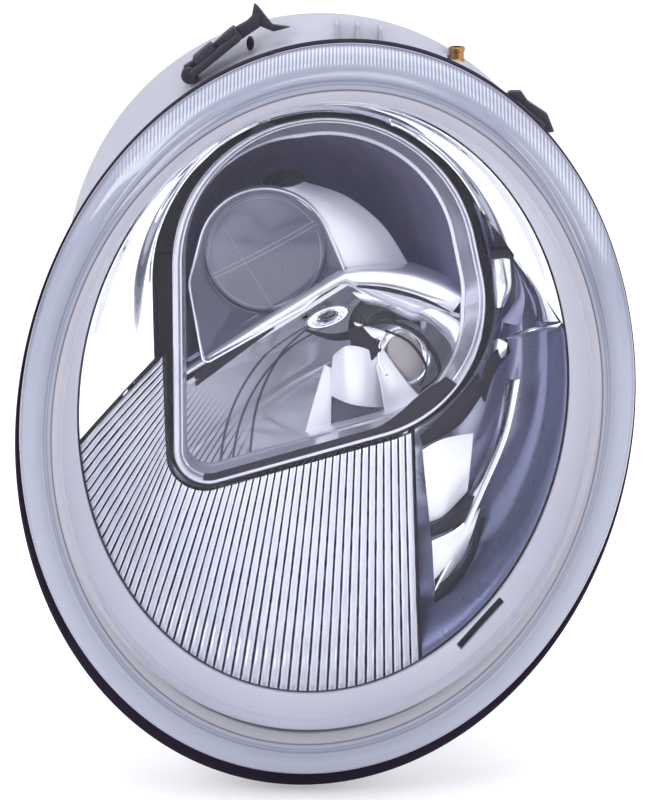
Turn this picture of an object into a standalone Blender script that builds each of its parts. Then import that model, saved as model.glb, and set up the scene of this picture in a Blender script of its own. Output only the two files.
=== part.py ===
"""Oval car headlight assembly, for Blender 4.5. Metres, +Z up, the lamp faces -Y.

The origin is the centre of the oval flange of the lens, in the plane of its back edge.
Every piece is one named object. The pieces that move are parented to an empty on their joint's axis.
"""

from math import atan2, cos, hypot, pi, radians, sin, sqrt

import bmesh
import bpy
from mathutils import Matrix, Vector

MM = 0.001
FIT = 0.4 * MM  # gap between pieces that touch

# Oval lens: half sizes of the flange edge, and how far its top leans to +X.
LENS_HALF_WIDTH = 119.4 * MM
LENS_HALF_HEIGHT = 147.4 * MM
LENS_LEAN = radians(10.2)
DOME_RISE = 24 * MM

# Oval edge of the bright inner parts, inside the bezel.
RIM_CENTRE = (-1.4 * MM, 1.6 * MM)
RIM_HALF_WIDTH = 96.5 * MM
RIM_HALF_HEIGHT = 120.3 * MM
RIM_LEAN = radians(8.1)
RIM_DEPTH = 14 * MM

# Headlamp pod: a rounded outline drawn tightly round three circles (x, z, radius), and the opening round it.
POD_CIRCLES = ((0, 54.6, 59.3), (-47.3, -20, 12), (8, 40, 54.5))
OPENING_CIRCLES = ((-1.0, 52.6, 65), (-48.6, -20.8, 15.5), (8.6, 40.4, 58.6))
POD_FRONT = 22 * MM
POD_BACK = 52 * MM
BOWL_FRONT = 41 * MM
NECK_DEPTH = 95 * MM
NECK_RADIUS = 15 * MM

# Aiming: both axes pass through this point.
PIVOT = (0, 70 * MM, 46 * MM)
FRAME_INNER = 86 * MM
FRAME_OUTER = 92.5 * MM

# Axes of the lamps and of what turns, as (x, z).
LOW_BEAM = (24 * MM, 15 * MM)
HIGH_BEAM = (-16 * MM, 66 * MM)
PARKING = (-4 * MM, 27 * MM)
REAR_CAP = (0, 36 * MM)
SIGNAL = (-30 * MM, -78 * MM)
HEIGHT_SCREW = (-30 * MM, 113.5 * MM)
SIDE_SCREW = (60 * MM, 93 * MM)
MOTOR_ROD = (-48.5 * MM, -20.5 * MM)
MOTOR = (-54.4 * MM, -29.3 * MM)

# The bend of the crest between the two bowls, and its ends.
CREST = ((-48, 13.5), (7.4, 49), (52, 36))

HOUSING_WALL = 3 * MM
REAR_WALL = 112 * MM
COLLAR_RADIUS = 58 * MM
COLLAR_END = 122 * MM

# name: (colour, roughness, metallic)
FINISHES = {
    "clear_plastic": ((0.90, 0.93, 0.97), 0.03, 0.0),
    "black_rubber": ((0.03, 0.025, 0.035), 0.75, 0.0),
    "grey_plastic": ((0.62, 0.62, 0.68), 0.5, 0.0),
    "bezel_plastic": ((0.72, 0.73, 0.80), 0.35, 0.0),
    "bright_chrome": ((0.86, 0.87, 0.90), 0.06, 1.0),
    "smoked_glass": ((0.20, 0.20, 0.25), 0.1, 0.0),
    "black_plastic": ((0.04, 0.035, 0.05), 0.5, 0.0),
    "bare_steel": ((0.62, 0.62, 0.64), 0.3, 1.0),
    "bulb_glass": ((0.92, 0.94, 0.96), 0.02, 0.0),
    "amber_glass": ((0.90, 0.45, 0.08), 0.1, 0.0),
    "brass": ((0.78, 0.56, 0.28), 0.3, 1.0),
    "white_plastic": ((0.85, 0.85, 0.83), 0.45, 0.0),
}


def clear_scene():
    for obj in list(bpy.data.objects):
        bpy.data.objects.remove(obj)


def finish(name):
    material = bpy.data.materials.get(name)
    if material is None:
        colour, roughness, metallic = FINISHES[name]
        material = bpy.data.materials.new(name)
        material.use_nodes = True
        shader = material.node_tree.nodes["Principled BSDF"]
        shader.inputs["Base Color"].default_value = (*colour, 1)
        shader.inputs["Roughness"].default_value = roughness
        shader.inputs["Metallic"].default_value = metallic
        material.diffuse_color = (*colour, 1)
    return material


def add_object(name, mesh, material, smooth=40):
    mesh.materials.append(finish(material))
    mesh.shade_smooth()
    mesh.set_sharp_from_angle(angle=radians(smooth))
    obj = bpy.data.objects.new(name, mesh)
    bpy.context.scene.collection.objects.link(obj)
    return obj


def mesh_from(bm, name):
    bmesh.ops.recalc_face_normals(bm, faces=bm.faces)
    mesh = bpy.data.meshes.new(name)
    bm.to_mesh(mesh)
    bm.free()
    return mesh


# ---- outlines, as (x, z) points ----


def oval_point(angle, centre, half_width, half_height, lean=0.0):
    across, up = half_width * cos(angle), half_height * sin(angle)
    return (
        centre[0] + across * cos(lean) + up * sin(lean),
        centre[1] - across * sin(lean) + up * cos(lean),
    )


def oval_ring(depth, centre, half_width, half_height, lean=0.0, count=48):
    points = []
    for i in range(count):
        x, z = oval_point(2 * pi * i / count, centre, half_width, half_height, lean)
        points.append(Vector((x, depth, z)))
    return points


def lens_ring(depth, grow, count=48):
    return oval_ring(depth, (0, 0), LENS_HALF_WIDTH + grow, LENS_HALF_HEIGHT + grow, LENS_LEAN, count)


def rim_ring(depth, grow, count=48):
    return oval_ring(depth, RIM_CENTRE, RIM_HALF_WIDTH + grow, RIM_HALF_HEIGHT + grow, RIM_LEAN, count)


def circle_ring(depth, centre, radius, count=48):
    return oval_ring(depth, centre, radius, radius, 0.0, count)


def hull(circles, grow=0.0, count=720):
    """A band pulled tight round circles given in millimetres, and then moved out by grow."""
    points = []
    for i in range(count):
        angle = 2 * pi * i / count
        way = Vector((cos(angle), sin(angle)))
        x, z, radius = max(circles, key=lambda c: c[0] * way.x + c[1] * way.y + c[2])
        points.append(Vector((x, z)) * MM + way * (radius * MM + grow))
    return points


def resample(points, count):
    """count points evenly spaced along an open run of points, both ends kept."""
    lengths = [0.0]
    for a, b in zip(points, points[1:]):
        lengths.append(lengths[-1] + (b - a).length)
    spaced, k = [], 0
    for i in range(count):
        target = lengths[-1] * i / (count - 1)
        while k < len(points) - 2 and lengths[k + 1] < target:
            k += 1
        span = lengths[k + 1] - lengths[k]
        share = (target - lengths[k]) / span if span else 0.0
        spaced.append(points[k].lerp(points[k + 1], min(max(share, 0.0), 1.0)))
    return spaced


def walk(loop, start, end, count):
    """count points evenly spaced along a closed anticlockwise loop, from nearest start to nearest end."""
    loop = resample([*loop, loop[0]], 1441)[:-1]
    a = min(range(len(loop)), key=lambda i: (loop[i] - Vector(start)).length)
    b = min(range(len(loop)), key=lambda i: (loop[i] - Vector(end)).length)
    run = [loop[(a + i) % len(loop)] for i in range((b - a) % len(loop) + 1)]
    return resample(run, count)


def hull_ring(depth, circles, grow, count=48):
    """A ring at one depth. Points keep their place along the ungrown outline, so that rings match."""
    base = hull(circles)
    grown = hull(circles, grow)
    base.append(base[0])
    grown.append(grown[0])
    lengths = [0.0]
    for a, b in zip(base, base[1:]):
        lengths.append(lengths[-1] + (b - a).length)
    points, k = [], 0
    for i in range(count):
        target = lengths[-1] * i / count
        while lengths[k + 1] < target:
            k += 1
        share = (target - lengths[k]) / (lengths[k + 1] - lengths[k])
        spot = grown[k].lerp(grown[k + 1], share)
        points.append(Vector((spot.x, depth, spot.y)))
    return points


# ---- solids ----


def extrude_to(bm, loop, points):
    """Extrudes a closed loop of vertices and moves the copy to points."""
    edges = [bm.edges.get((loop[i - 1], loop[i])) for i in range(len(loop))]
    made = bmesh.ops.extrude_edge_only(bm, edges=edges)["geom"]
    fresh = {v for v in made if isinstance(v, bmesh.types.BMVert)}
    copies = [next(e.other_vert(v) for e in v.link_edges if e.other_vert(v) in fresh) for v in loop]
    for vertex, point in zip(copies, points):
        vertex.co = point
    return copies


def loft(name, rings, material, closed=False, smooth=40):
    """A skin through rings of points: capped at both ends or, if closed, joined from the last ring to the first."""
    bm = bmesh.new()
    first = [bm.verts.new(p) for p in rings[0]]
    for i in range(len(first)):
        bm.edges.new((first[i - 1], first[i]))
    if not closed:
        bm.faces.new(first)
    loop = first
    for ring in rings[1:]:
        loop = extrude_to(bm, loop, ring)
    if closed:
        extrude_to(bm, loop, rings[0])
        bmesh.ops.remove_doubles(bm, verts=bm.verts, dist=1e-6)
    else:
        bm.faces.new(loop)
    return add_object(name, mesh_from(bm, name), material, smooth)


def across(axis):
    """Two directions square to axis and to each other."""
    axis = Vector(axis).normalized()
    side = axis.cross((0, 0, 1)) if abs(axis.z) < 0.9 else axis.cross((1, 0, 0))
    side.normalize()
    return axis, side, axis.cross(side)


def turned(name, start, axis, profile, material, count=20, closed=False):
    """A solid of revolution. profile holds (millimetres along axis, radius in millimetres)."""
    axis, side, up = across(axis)
    start = Vector(start)
    rings = []
    for along, radius in profile:
        centre = start + axis * along * MM
        turns = [2 * pi * i / count for i in range(count)]
        rings.append([centre + (side * cos(a) + up * sin(a)) * radius * MM for a in turns])
    return loft(name, rings, material, closed)


def rod(name, start, axis, length, radius, material, count=16):
    return turned(name, start, axis, [(0, radius), (length, radius)], material, count)


def tube(name, start, axis, length, outer, inner, material, count=24):
    profile = [(0, outer), (length, outer), (length, inner), (0, inner)]
    return turned(name, start, axis, profile, material, count, closed=True)


def block(name, centre, size, material, bevel=0.0, turn=0.0):
    """A box, turned about Y by turn, with its edges bevelled. Sizes in millimetres."""
    bm = bmesh.new()
    bmesh.ops.create_cube(bm, size=1)
    bmesh.ops.scale(bm, vec=[s * MM for s in size], verts=bm.verts)
    if bevel:
        bmesh.ops.bevel(bm, geom=bm.edges[:], offset=bevel * MM, segments=1, affect="EDGES")
    bmesh.ops.rotate(bm, matrix=Matrix.Rotation(turn, 3, "Y"), verts=bm.verts)
    bmesh.ops.translate(bm, vec=centre, verts=bm.verts)
    return add_object(name, mesh_from(bm, name), material)


def plate(name, outline, start, thickness, material):
    """A flat outline of (x, z) points in millimetres, extruded along +Y from depth start."""
    rings = [[Vector((x * MM, y * MM, z * MM)) for x, z in outline] for y in (start, start + thickness)]
    return loft(name, rings, material)


def combine(target, other, operation):
    """Joins other to target, or cuts it away, by an applied Boolean, and removes other."""
    modifier = target.modifiers.new(operation.lower(), "BOOLEAN")
    modifier.operation = operation
    modifier.solver = "EXACT"
    modifier.object = other
    graph = bpy.context.evaluated_depsgraph_get()
    mesh = bpy.data.meshes.new_from_object(target.evaluated_get(graph))
    target.modifiers.clear()
    target.data = mesh
    bpy.data.objects.remove(other)


def drill(target, start, axis, length, radius, count=16):
    combine(target, rod("drill", start, axis, length, radius, "bare_steel", count), "DIFFERENCE")


def sheet(name, columns, material, thickness, wrap=False):
    """A sheet through columns of points, thickened away from the front. wrap joins the last column to the first."""
    bm = bmesh.new()
    grid = [[bm.verts.new(p) for p in column] for column in columns]
    last = len(grid) if wrap else len(grid) - 1
    for i in range(last):
        a, b = grid[i], grid[(i + 1) % len(grid)]
        for j in range(len(a) - 1):
            bm.faces.new((a[j], b[j], b[j + 1], a[j + 1]))
    bmesh.ops.recalc_face_normals(bm, faces=bm.faces)
    if sum(f.normal.y * f.calc_area() for f in bm.faces) > 0:
        bmesh.ops.reverse_faces(bm, faces=bm.faces)
    mesh = bpy.data.meshes.new(name)
    bm.to_mesh(mesh)
    bm.free()
    obj = add_object(name, mesh, material)
    solid = obj.modifiers.new("thickness", "SOLIDIFY")
    solid.thickness = thickness * MM
    solid.offset = -1
    return obj


def panel(name, at_pod, at_rim, depths, material, columns, thickness=2.0, shrink=0.0):
    """A thin panel between the opening round the pod and the oval rim. depths holds (share of the way out, depth)."""
    opening = hull(OPENING_CIRCLES, shrink)
    rim = [Vector(oval_point(2 * pi * i / 720, RIM_CENTRE, RIM_HALF_WIDTH - FIT - shrink,
                             RIM_HALF_HEIGHT - FIT - shrink, RIM_LEAN)) for i in range(720)]
    inner = walk(opening, *(Vector(p) * MM for p in at_pod), columns + 1)
    outer = walk(rim, *(Vector(p) * MM for p in at_rim), columns + 1)
    sides = []
    for a, b in zip(inner, outer):
        column = []
        for out, depth in depths:
            spot = a.lerp(b, out)
            column.append(Vector((spot.x, depth * MM, spot.y)))
        sides.append(column)
    return sheet(name, sides, material, thickness)


def wire(name, points, radius, material):
    """A round wire through points, with filled ends."""
    curve = bpy.data.curves.new(name, "CURVE")
    curve.dimensions = "3D"
    curve.bevel_depth = radius * MM
    curve.bevel_resolution = 1
    curve.use_fill_caps = True
    spline = curve.splines.new("POLY")
    spline.points.add(len(points) - 1)
    for point, place in zip(spline.points, points):
        point.co = (*place, 1)
    curve.materials.append(finish(material))
    obj = bpy.data.objects.new(name, curve)
    bpy.context.scene.collection.objects.link(obj)
    return obj


def carry(name, pivot, pieces, parent=None):
    """An empty on a joint's axis, with the pieces that move about it as children."""
    empty = bpy.data.objects.new(name, None)
    empty.location = pivot
    bpy.context.scene.collection.objects.link(empty)
    if parent:
        empty.parent = parent
        empty.matrix_parent_inverse = Matrix.Translation(-Vector(parent["pivot"]))
    empty["pivot"] = list(pivot)
    for piece in pieces:
        piece.parent = empty
        piece.matrix_parent_inverse = Matrix.Translation(-Vector(pivot))
    return empty


# ---- lens, gasket and bezel ----


def dome_ring(share, rim_depth, grow):
    depth = rim_depth - DOME_RISE * (1 - share * share)
    return oval_ring(
        depth, (0, 0), (LENS_HALF_WIDTH + grow) * share, (LENS_HALF_HEIGHT + grow) * share, LENS_LEAN
    )


def make_lens():
    """A flange, a rounded rim band, a small step and a shallow dome, all of one wall thickness."""
    inner = [(-3, 2), (-3, -1.5), (-4.6, -4.4), (-7.2, -6.8), (-10.4, -7.8), (-12.6, -10.4), (-17, -11.6)]
    outer = [(0, 2), (0, -3), (-2, -6.5), (-6, -9.5), (-9, -10.5), (-11, -13), (-16, -14.5)]
    shares = [0.86, 0.68, 0.48, 0.28, 0.1]
    inside = [dome_ring(s, -11.6 * MM, -17 * MM) for s in reversed(shares)]
    inside += [lens_ring(y * MM, grow * MM) for grow, y in reversed(inner)]
    outside = [lens_ring(y * MM, grow * MM) for grow, y in outer]
    outside += [dome_ring(s, -14.5 * MM, -16 * MM) for s in shares]
    return loft("lens", inside + outside, "clear_plastic")


def make_gasket():
    rings = []
    for depth, share in ((2.4, 0.7), (4.5, 1.0), (10, 0.9), (12, 0.5)):
        ring = []
        for i in range(48):
            angle = 2 * pi * i / 48
            grow = (0.8 + 6.2 * ((1 - sin(angle)) / 2) ** 2.5) * MM * share
            x, z = oval_point(angle, (0, 0), LENS_HALF_WIDTH + grow, LENS_HALF_HEIGHT + grow, LENS_LEAN)
            ring.append(Vector((x, depth * MM, z)))
        rings.append(ring)
    rings.append(lens_ring(12 * MM, -4.6 * MM))
    rings.append(lens_ring(2.4 * MM, -4.6 * MM))
    return loft("lens_gasket", rings, "black_rubber", closed=True)


def make_inner_bezel():
    front = [(0.3, 15), (9, 9.5), (10, 5), (12, 3.5)]
    rings = [rim_ring(y * MM, grow * MM) for grow, y in front]
    rings += [rim_ring((y + 2) * MM, (grow + 0.2) * MM) for grow, y in reversed(front)]
    ring = loft("inner_bezel", rings, "bezel_plastic", closed=True)
    slot = block("slot", (64 * MM, 10 * MM, -89 * MM), (22, 30, 2.6), "black_plastic", turn=radians(-49))
    combine(ring, slot, "DIFFERENCE")
    return ring


# ---- housing ----


def make_housing():
    """A drum that narrows to a flat back, with a collar round the service opening and bosses for what passes through."""
    sections = [
        (-1, (0, 0), 114.4, 142.4, 10.2),
        (14, (0, 0), 114.4, 142.4, 10.2),
        (32, (-0.5, 3), 112.5, 138, 8),
        (48, (-1, 12), 109, 129.5, 5),
        (62, (-2, 31), 105, 116.5, 2),
        (72, (-2, 42), 102.5, 106.5, 0),
        (96, (-0.5, 40), 95, 99, 0),
        (112, (0, 38), 84, 92, 0),
    ]
    wall = HOUSING_WALL / MM
    outer, inner = [], []
    for y, (x, z), a, b, lean in sections:
        forward = wall if y > 100 else 0
        centre = (x * MM, z * MM)
        outer.append(oval_ring(y * MM, centre, a * MM, b * MM, radians(lean)))
        inner.append(
            oval_ring((y - forward) * MM, centre, (a - wall) * MM, (b - wall) * MM, radians(lean))
        )
    collar = [
        circle_ring(REAR_WALL, REAR_CAP, COLLAR_RADIUS),
        circle_ring(COLLAR_END, REAR_CAP, COLLAR_RADIUS),
        circle_ring(COLLAR_END, REAR_CAP, COLLAR_RADIUS - HOUSING_WALL),
        circle_ring(REAR_WALL - HOUSING_WALL, REAR_CAP, COLLAR_RADIUS - HOUSING_WALL),
    ]
    housing = loft("housing", outer + collar + list(reversed(inner)), "grey_plastic", closed=True)
    x, z = SIGNAL
    boss = rod("boss", (x, 56 * MM, z), (0, 1, 0), 26, 18, "grey_plastic", 24)
    combine(housing, boss, "UNION")
    drill(housing, (x, 40 * MM, z), (0, 1, 0), 60, 15, 24)
    for height, length in ((140, 9), (-73, 14)):
        boss = rod("boss", (0, PIVOT[1], height * MM), (0, 0, 1), length, 7, "grey_plastic")
        combine(housing, boss, "UNION")
        drill(housing, (0, PIVOT[1], (height - 6) * MM), (0, 0, 1), length + 16, 3.4)
    for (x, z), radius in ((HEIGHT_SCREW, 3.7), (SIDE_SCREW, 3.7), (MOTOR_ROD, 5)):
        drill(housing, (x, 100 * MM, z), (0, 1, 0), 30, radius)
    return housing


def make_lens_clip(name, angle, half_span=7.5):
    """A snap tab with a window, lying on the housing behind the gasket."""
    depths = [12.5, 15.5, 22, 26]
    bm = bmesh.new()
    grid = []
    for i in range(9):
        turn = radians(angle) + radians(half_span) * (1 - 2 * i / 8)
        column = []
        for depth in depths:
            grow = (-1.2 - max(0, depth - 14) * 0.05) * MM
            x, z = oval_point(turn, (0, 0), LENS_HALF_WIDTH + grow, LENS_HALF_HEIGHT + grow, LENS_LEAN)
            column.append(bm.verts.new((x, depth * MM, z)))
        grid.append(column)
    for i in range(8):
        for j in range(3):
            if not (j == 1 and 3 <= i <= 4):
                bm.faces.new((grid[i][j], grid[i][j + 1], grid[i + 1][j + 1], grid[i + 1][j]))
    middle = grid[4][0].co
    bm.faces.ensure_lookup_table()
    bm.normal_update()
    if bm.faces[0].normal.dot(Vector((middle.x, 0, middle.z))) < 0:
        bmesh.ops.reverse_faces(bm, faces=bm.faces)
    mesh = bpy.data.meshes.new(name)
    bm.to_mesh(mesh)
    bm.free()
    obj = add_object(name, mesh, "grey_plastic")
    solid = obj.modifiers.new("thickness", "SOLIDIFY")
    solid.thickness = 1.8 * MM
    solid.offset = -1
    return obj


def make_brackets():
    left = [(-57, 131), (-51, 134), (-40, 144), (-31, 149), (-28, 155), (-22, 159), (-20, 156),
            (-25, 152), (-26, 146), (-36, 139.5), (-47, 133.5), (-55, 128.5)]
    plate("upper_left_bracket", left, 47, 5, "black_plastic")
    right = [(71, 119), (77, 122), (83, 116), (88, 112), (91, 105), (86, 104.5), (79, 110)]
    plate("upper_right_bracket", right, 42, 6, "black_plastic")
    tube("brass_bush", (52 * MM, 62 * MM, 134.5 * MM), (0, 0, 1), 7, 4, 2.2, "brass", 16)
    for name, side in (("lower_left_lug", -1), ("lower_right_lug", 1)):
        x = (-2 + side * 56) * MM
        lug = block(name, (x, 60.5 * MM, -98 * MM), (24, 4, 24), "grey_plastic", 0.8)
        drill(lug, (x, 50 * MM, -101 * MM), (0, 1, 0), 20, 3.5)


# ---- pod ----


def make_pod_ring():
    """The bright ring that is seen round the bowls, and the skirt behind it."""
    profile = [(-1, 22), (0, 23), (0, 52), (-2, 52), (-2, 40), (-9, 38.6), (-9, 36.4), (-7, 34), (-3.4, 25), (-2.6, 22.4)]
    rings = [hull_ring(y * MM, POD_CIRCLES, grow * MM) for grow, y in profile]
    return loft("pod_ring", rings, "bright_chrome", closed=True)


def bowl_columns(outline, neck, front_of, rows, power):
    """Columns of points from a bowl's front edge to the circle at its neck."""
    columns = []
    for spot in outline:
        away = spot - Vector(neck)
        reach, way = away.length, away.normalized()
        front = front_of(spot)
        column = []
        for j in range(rows + 1):
            share = j / rows
            depth = front + (NECK_DEPTH - front) * share ** 1.25
            keep = sqrt(max(1 - share ** 1.25, 0)) ** power
            at = Vector(neck) + way * (NECK_RADIUS + (reach - NECK_RADIUS) * keep)
            column.append(Vector((at.x, depth, at.y)))
        columns.append(column)
    return columns


def crest_line(offset):
    """The crest's bent line, moved to its upper side by offset."""
    left, top, right = (Vector(p) * MM for p in CREST)
    up_left = Vector((-(top - left).y, (top - left).x)).normalized()
    up_right = Vector((-(right - top).y, (right - top).x)).normalized()
    middle = (up_left + up_right).normalized()
    return left + up_left * offset, top + middle * offset / middle.dot(up_left), right + up_right * offset


def make_bowls():
    inside = hull(POD_CIRCLES, -6.6 * MM)

    def front_of(spot):
        left, top, right = crest_line(0)
        near = min(distance_to(spot, left, top), distance_to(spot, top, right))
        return BOWL_FRONT + 5 * MM * max(0.0, 1 - near / (9 * MM))

    left, top, right = crest_line(4.2 * MM)
    upper = walk(inside, run_out(inside, top, right), run_out(inside, top, left), 29)
    upper += resample([upper[-1], top], 8)[1:] + resample([top, upper[0]], 7)[1:-1]
    upper = sheet(
        "upper_reflector", bowl_columns(upper, HIGH_BEAM, front_of, 6, 1.1), "bright_chrome", 1.8, wrap=True
    )
    left, top, right = crest_line(-5.2 * MM)
    lower = walk(inside, run_out(inside, top, left), run_out(inside, top, right), 29)
    lower += resample([lower[-1], top], 7)[1:] + resample([top, lower[0]], 8)[1:-1]
    lower = sheet(
        "lower_reflector", bowl_columns(lower, LOW_BEAM, front_of, 6, 1.1), "bright_chrome", 1.8, wrap=True
    )
    drill(lower, (PARKING[0], 60 * MM, PARKING[1]), (0, 1, 0), 40, 6.5)
    return upper, lower


def run_out(loop, start, through):
    """The point of loop that the line from start through another point meets."""
    way = (through - start).normalized()
    spots = [through + way * t * 0.25 * MM for t in range(-20, 80)]
    return min(spots, key=lambda s: min((p - s).length for p in resample([*loop, loop[0]], 600)))


def distance_to(spot, a, b):
    share = max(0.0, min(1.0, (spot - a).dot(b - a) / (b - a).length_squared))
    return (spot - a.lerp(b, share)).length


def make_crest():
    """The bright wall between the bowls: thin on the left leg and broad on the right one."""
    left, top, right = crest_line(0)
    path = resample([left, top], 6) + resample([top, right], 6)[1:]
    rings = []
    for i, spot in enumerate(path):
        share = i / (len(path) - 1)
        before, after = path[max(i - 1, 0)], path[min(i + 1, len(path) - 1)]
        way = (after - before).normalized()
        side = Vector((-way.y, way.x))
        thick = (1.1 if share < 0.5 else 1.1 + 0.8 * min(1, (share - 0.5) * 4)) * MM
        front = (36 + 9 * (1 - abs(share - 0.5) * 2)) * MM
        corners = []
        for offset, depth in ((thick, front), (-thick, front + 2 * MM), (-thick, 58 * MM), (thick, 58 * MM)):
            at = spot + side * offset
            corners.append(Vector((at.x, depth, at.y)))
        rings.append(corners)
    return loft("crest", rings, "bright_chrome")


def make_carrier():
    """A flat ring behind the pod's skirt, with arms to the level pins and bosses for the screw and the rod."""
    rings = [hull_ring(y * MM, POD_CIRCLES, g * MM) for g, y in ((2.5, 52.5), (2.5, 57), (-3.2, 57), (-3.2, 52.5))]
    carrier = loft("reflector_carrier", rings, "black_plastic", closed=True)
    for side in (-1, 1):
        tab = block("tab", (side * 67 * MM, 54.7 * MM, PIVOT[2]), (22, 4, 16), "black_plastic")
        combine(carrier, tab, "UNION")
        arm = block("arm", (side * 75 * MM, 65.5 * MM, PIVOT[2]), (5.6, 25, 15), "black_plastic")
        combine(carrier, arm, "UNION")
    drill(carrier, (-90 * MM, PIVOT[1], PIVOT[2]), (1, 0, 0), 180, 3.4)
    for (x, z), hole, outer, start, end in ((HEIGHT_SCREW, 7.2, 10, 52.7, 61), (MOTOR_ROD, 4.8, 6.2, 59, 62.5)):
        boss = rod("boss", (x, start * MM, z), (0, 1, 0), end - start, outer, "black_plastic")
        combine(carrier, boss, "UNION")
        if start > 55:
            arm = block("arm", (x - 6.5 * MM, 59 * MM, z - 5.2 * MM), (8, 7, 8), "black_plastic", turn=radians(-38))
            combine(carrier, arm, "UNION")
        drill(carrier, (x, 45 * MM, z), (0, 1, 0), 30, hole)
    return carrier


def make_bulb(name, axis_at, tip, glass):
    x, z = axis_at
    profile = [(0, 2), (1.5, 4.6), (97 - tip - 8, 4.8), (97 - tip - 8, 8), (97 - tip, 8), (97 - tip, 16.5),
               (99.8 - tip, 16.5), (99.8 - tip, 7), (103 - tip, 7)]
    return turned(name, (x, tip * MM, z), (0, 1, 0), profile, glass, 20)


def make_clip(name, axis_at, hinge_z, free_z):
    """A spring wire loop: its hinge bar is at hinge_z and its free bar at free_z."""
    x, y = axis_at[0], 101.6 * MM
    half, low = 11 * MM, 5 * MM
    points = [(x - low, y, hinge_z), (x - half, y, hinge_z), (x - half, y, free_z), (x + half, y, free_z),
              (x + half, y, hinge_z), (x + low, y, hinge_z)]
    return wire(name, points, 1.0, "bare_steel")


def make_pod():
    ring = make_pod_ring()
    upper, lower = make_bowls()
    crest = make_crest()
    carrier = make_carrier()
    bezel_shape = ((-23.4, 60.5, 23.4), (-45, 24.5, 3), (-1, 52, 3))
    rings = [hull_ring(y * MM, bezel_shape, g * MM, 36) for g, y in ((1.2, 35), (1.2, 40.3), (0, 40.3), (0, 35))]
    bezel = loft("high_beam_bezel", rings, "bright_chrome", closed=True)
    x, z = -23.4 * MM, 60.5 * MM
    lens = turned("high_beam_lens", (x, 35.5 * MM, z), (0, 1, 0),
                  [(0, 4), (0.6, 11), (1.8, 17), (3.8, 21.5), (5, 22.9), (6.5, 22.9)], "smoked_glass", 32)
    high = make_bulb("high_beam_bulb", HIGH_BEAM, 58, "bulb_glass")
    low = make_bulb("low_beam_bulb", LOW_BEAM, 52, "bulb_glass")
    plugs = []
    for name, (x, z) in (("high_beam_plug", HIGH_BEAM), ("low_beam_plug", LOW_BEAM)):
        plugs.append(turned(name, (x, 103.4 * MM, z), (0, 1, 0), [(0, 9), (12, 9), (15, 7)], "black_plastic"))
    x, z = LOW_BEAM
    hood = turned("low_beam_hood", (x, 38 * MM, z), (0, 1, 0),
                  [(3, 12), (6, 14.6), (24, 15), (24, 16.2), (4.5, 15.8), (1, 13), (0, 7)], "bright_chrome", 28)
    leg = block("leg", (x + 8.2 * MM, 56 * MM, z - 13.1 * MM), (6, 10, 2.6), "bright_chrome", turn=radians(-32))
    combine(hood, leg, "UNION")
    x, z = PARKING
    holder = turned("parking_holder", (x, 89.5 * MM, z), (0, 1, 0), [(0, 5), (3, 5), (3, 8), (9, 8), (9, 5), (13, 5)],
                    "white_plastic", 16)
    bulb = turned("parking_bulb", (x, 72 * MM, z), (0, 1, 0), [(0, 1.5), (1.5, 4), (9, 4.5), (17, 3)], "bulb_glass", 16)
    x, z = HEIGHT_SCREW
    nut = tube("height_nut", (x, 53.5 * MM, z), (0, 1, 0), 8, 6.8, 4.6, "white_plastic", 16)
    return [ring, upper, lower, crest, carrier, bezel, lens, high, low, *plugs, hood, holder, bulb, nut]


# ---- aiming frame, adjusters and motor ----


def make_frame():
    x, y, z = PIVOT
    frame = tube("aiming_frame", (x, y - 4 * MM, z), (0, 1, 0), 8, FRAME_OUTER / MM, FRAME_INNER / MM, "black_plastic", 48)
    away = Vector((SIDE_SCREW[0] - x, SIDE_SCREW[1] - z))
    turn = -atan2(away.y, away.x)
    middle = Vector((x, z)) + away.normalized() * 77.5 * MM
    lug = block("lug", (middle.x, y, middle.y), (17, 8, 16), "black_plastic", turn=turn)
    combine(frame, lug, "UNION")
    drill(frame, (SIDE_SCREW[0], 55 * MM, SIDE_SCREW[1]), (0, 1, 0), 30, 5.6)
    drill(frame, (-100 * MM, y, z), (1, 0, 0), 200, 3.3)
    drill(frame, (x, y, -60 * MM), (0, 0, 1), 210, 3.5)
    pins = []
    for name, side in (("left_tilt_pin", -1), ("right_tilt_pin", 1)):
        pins.append(rod(name, (side * 71 * MM, y, z), (side, 0, 0), 19, 3, "bare_steel"))
    nut = tube("side_nut", (SIDE_SCREW[0], 66 * MM, SIDE_SCREW[1]), (0, 1, 0), 8, 5.3, 4, "white_plastic", 16)
    rod("upper_swivel_pin", (0, y, 128 * MM), (0, 0, 1), 22.6, 3, "bare_steel")
    rod("lower_swivel_pin", (0, y, -39 * MM), (0, 0, -1), 33, 3, "bare_steel")
    return [frame, *pins, nut]


def make_adjuster(name, at, front):
    x, z = at
    knob = 112.6 - front
    profile = [(0, 2.2), (1, 3), (knob, 3), (knob, 7), (knob + 4, 7), (knob + 4, 5), (knob + 9, 5)]
    return turned(name, (x, front * MM, z), (0, 1, 0), profile, "white_plastic", 12)


def make_socket(name, centre, size, turn):
    """A plug socket: a box with an open pocket in its back."""
    socket = block(name, centre, size, "black_plastic", 1, turn)
    inner = (size[0] - 4.4, size[1], size[2] - 4.4)
    pocket = (centre[0], centre[1] + 4 * MM, centre[2])
    combine(socket, block("pocket", pocket, inner, "black_plastic", 0, turn), "DIFFERENCE")
    return socket


def make_motor():
    x, z = MOTOR
    motor = turned("level_motor", (x, 112.5 * MM, z), (0, 1, 0), [(0, 17), (2, 20.5), (22, 20.5), (27, 14), (30, 12)],
                   "black_plastic", 28)
    drill(motor, (MOTOR_ROD[0], 100 * MM, MOTOR_ROD[1]), (0, 1, 0), 27, 3.6)
    make_socket("motor_socket", (-77.6 * MM, 126 * MM, -57.4 * MM), (18, 18, 14), radians(-50))


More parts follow.
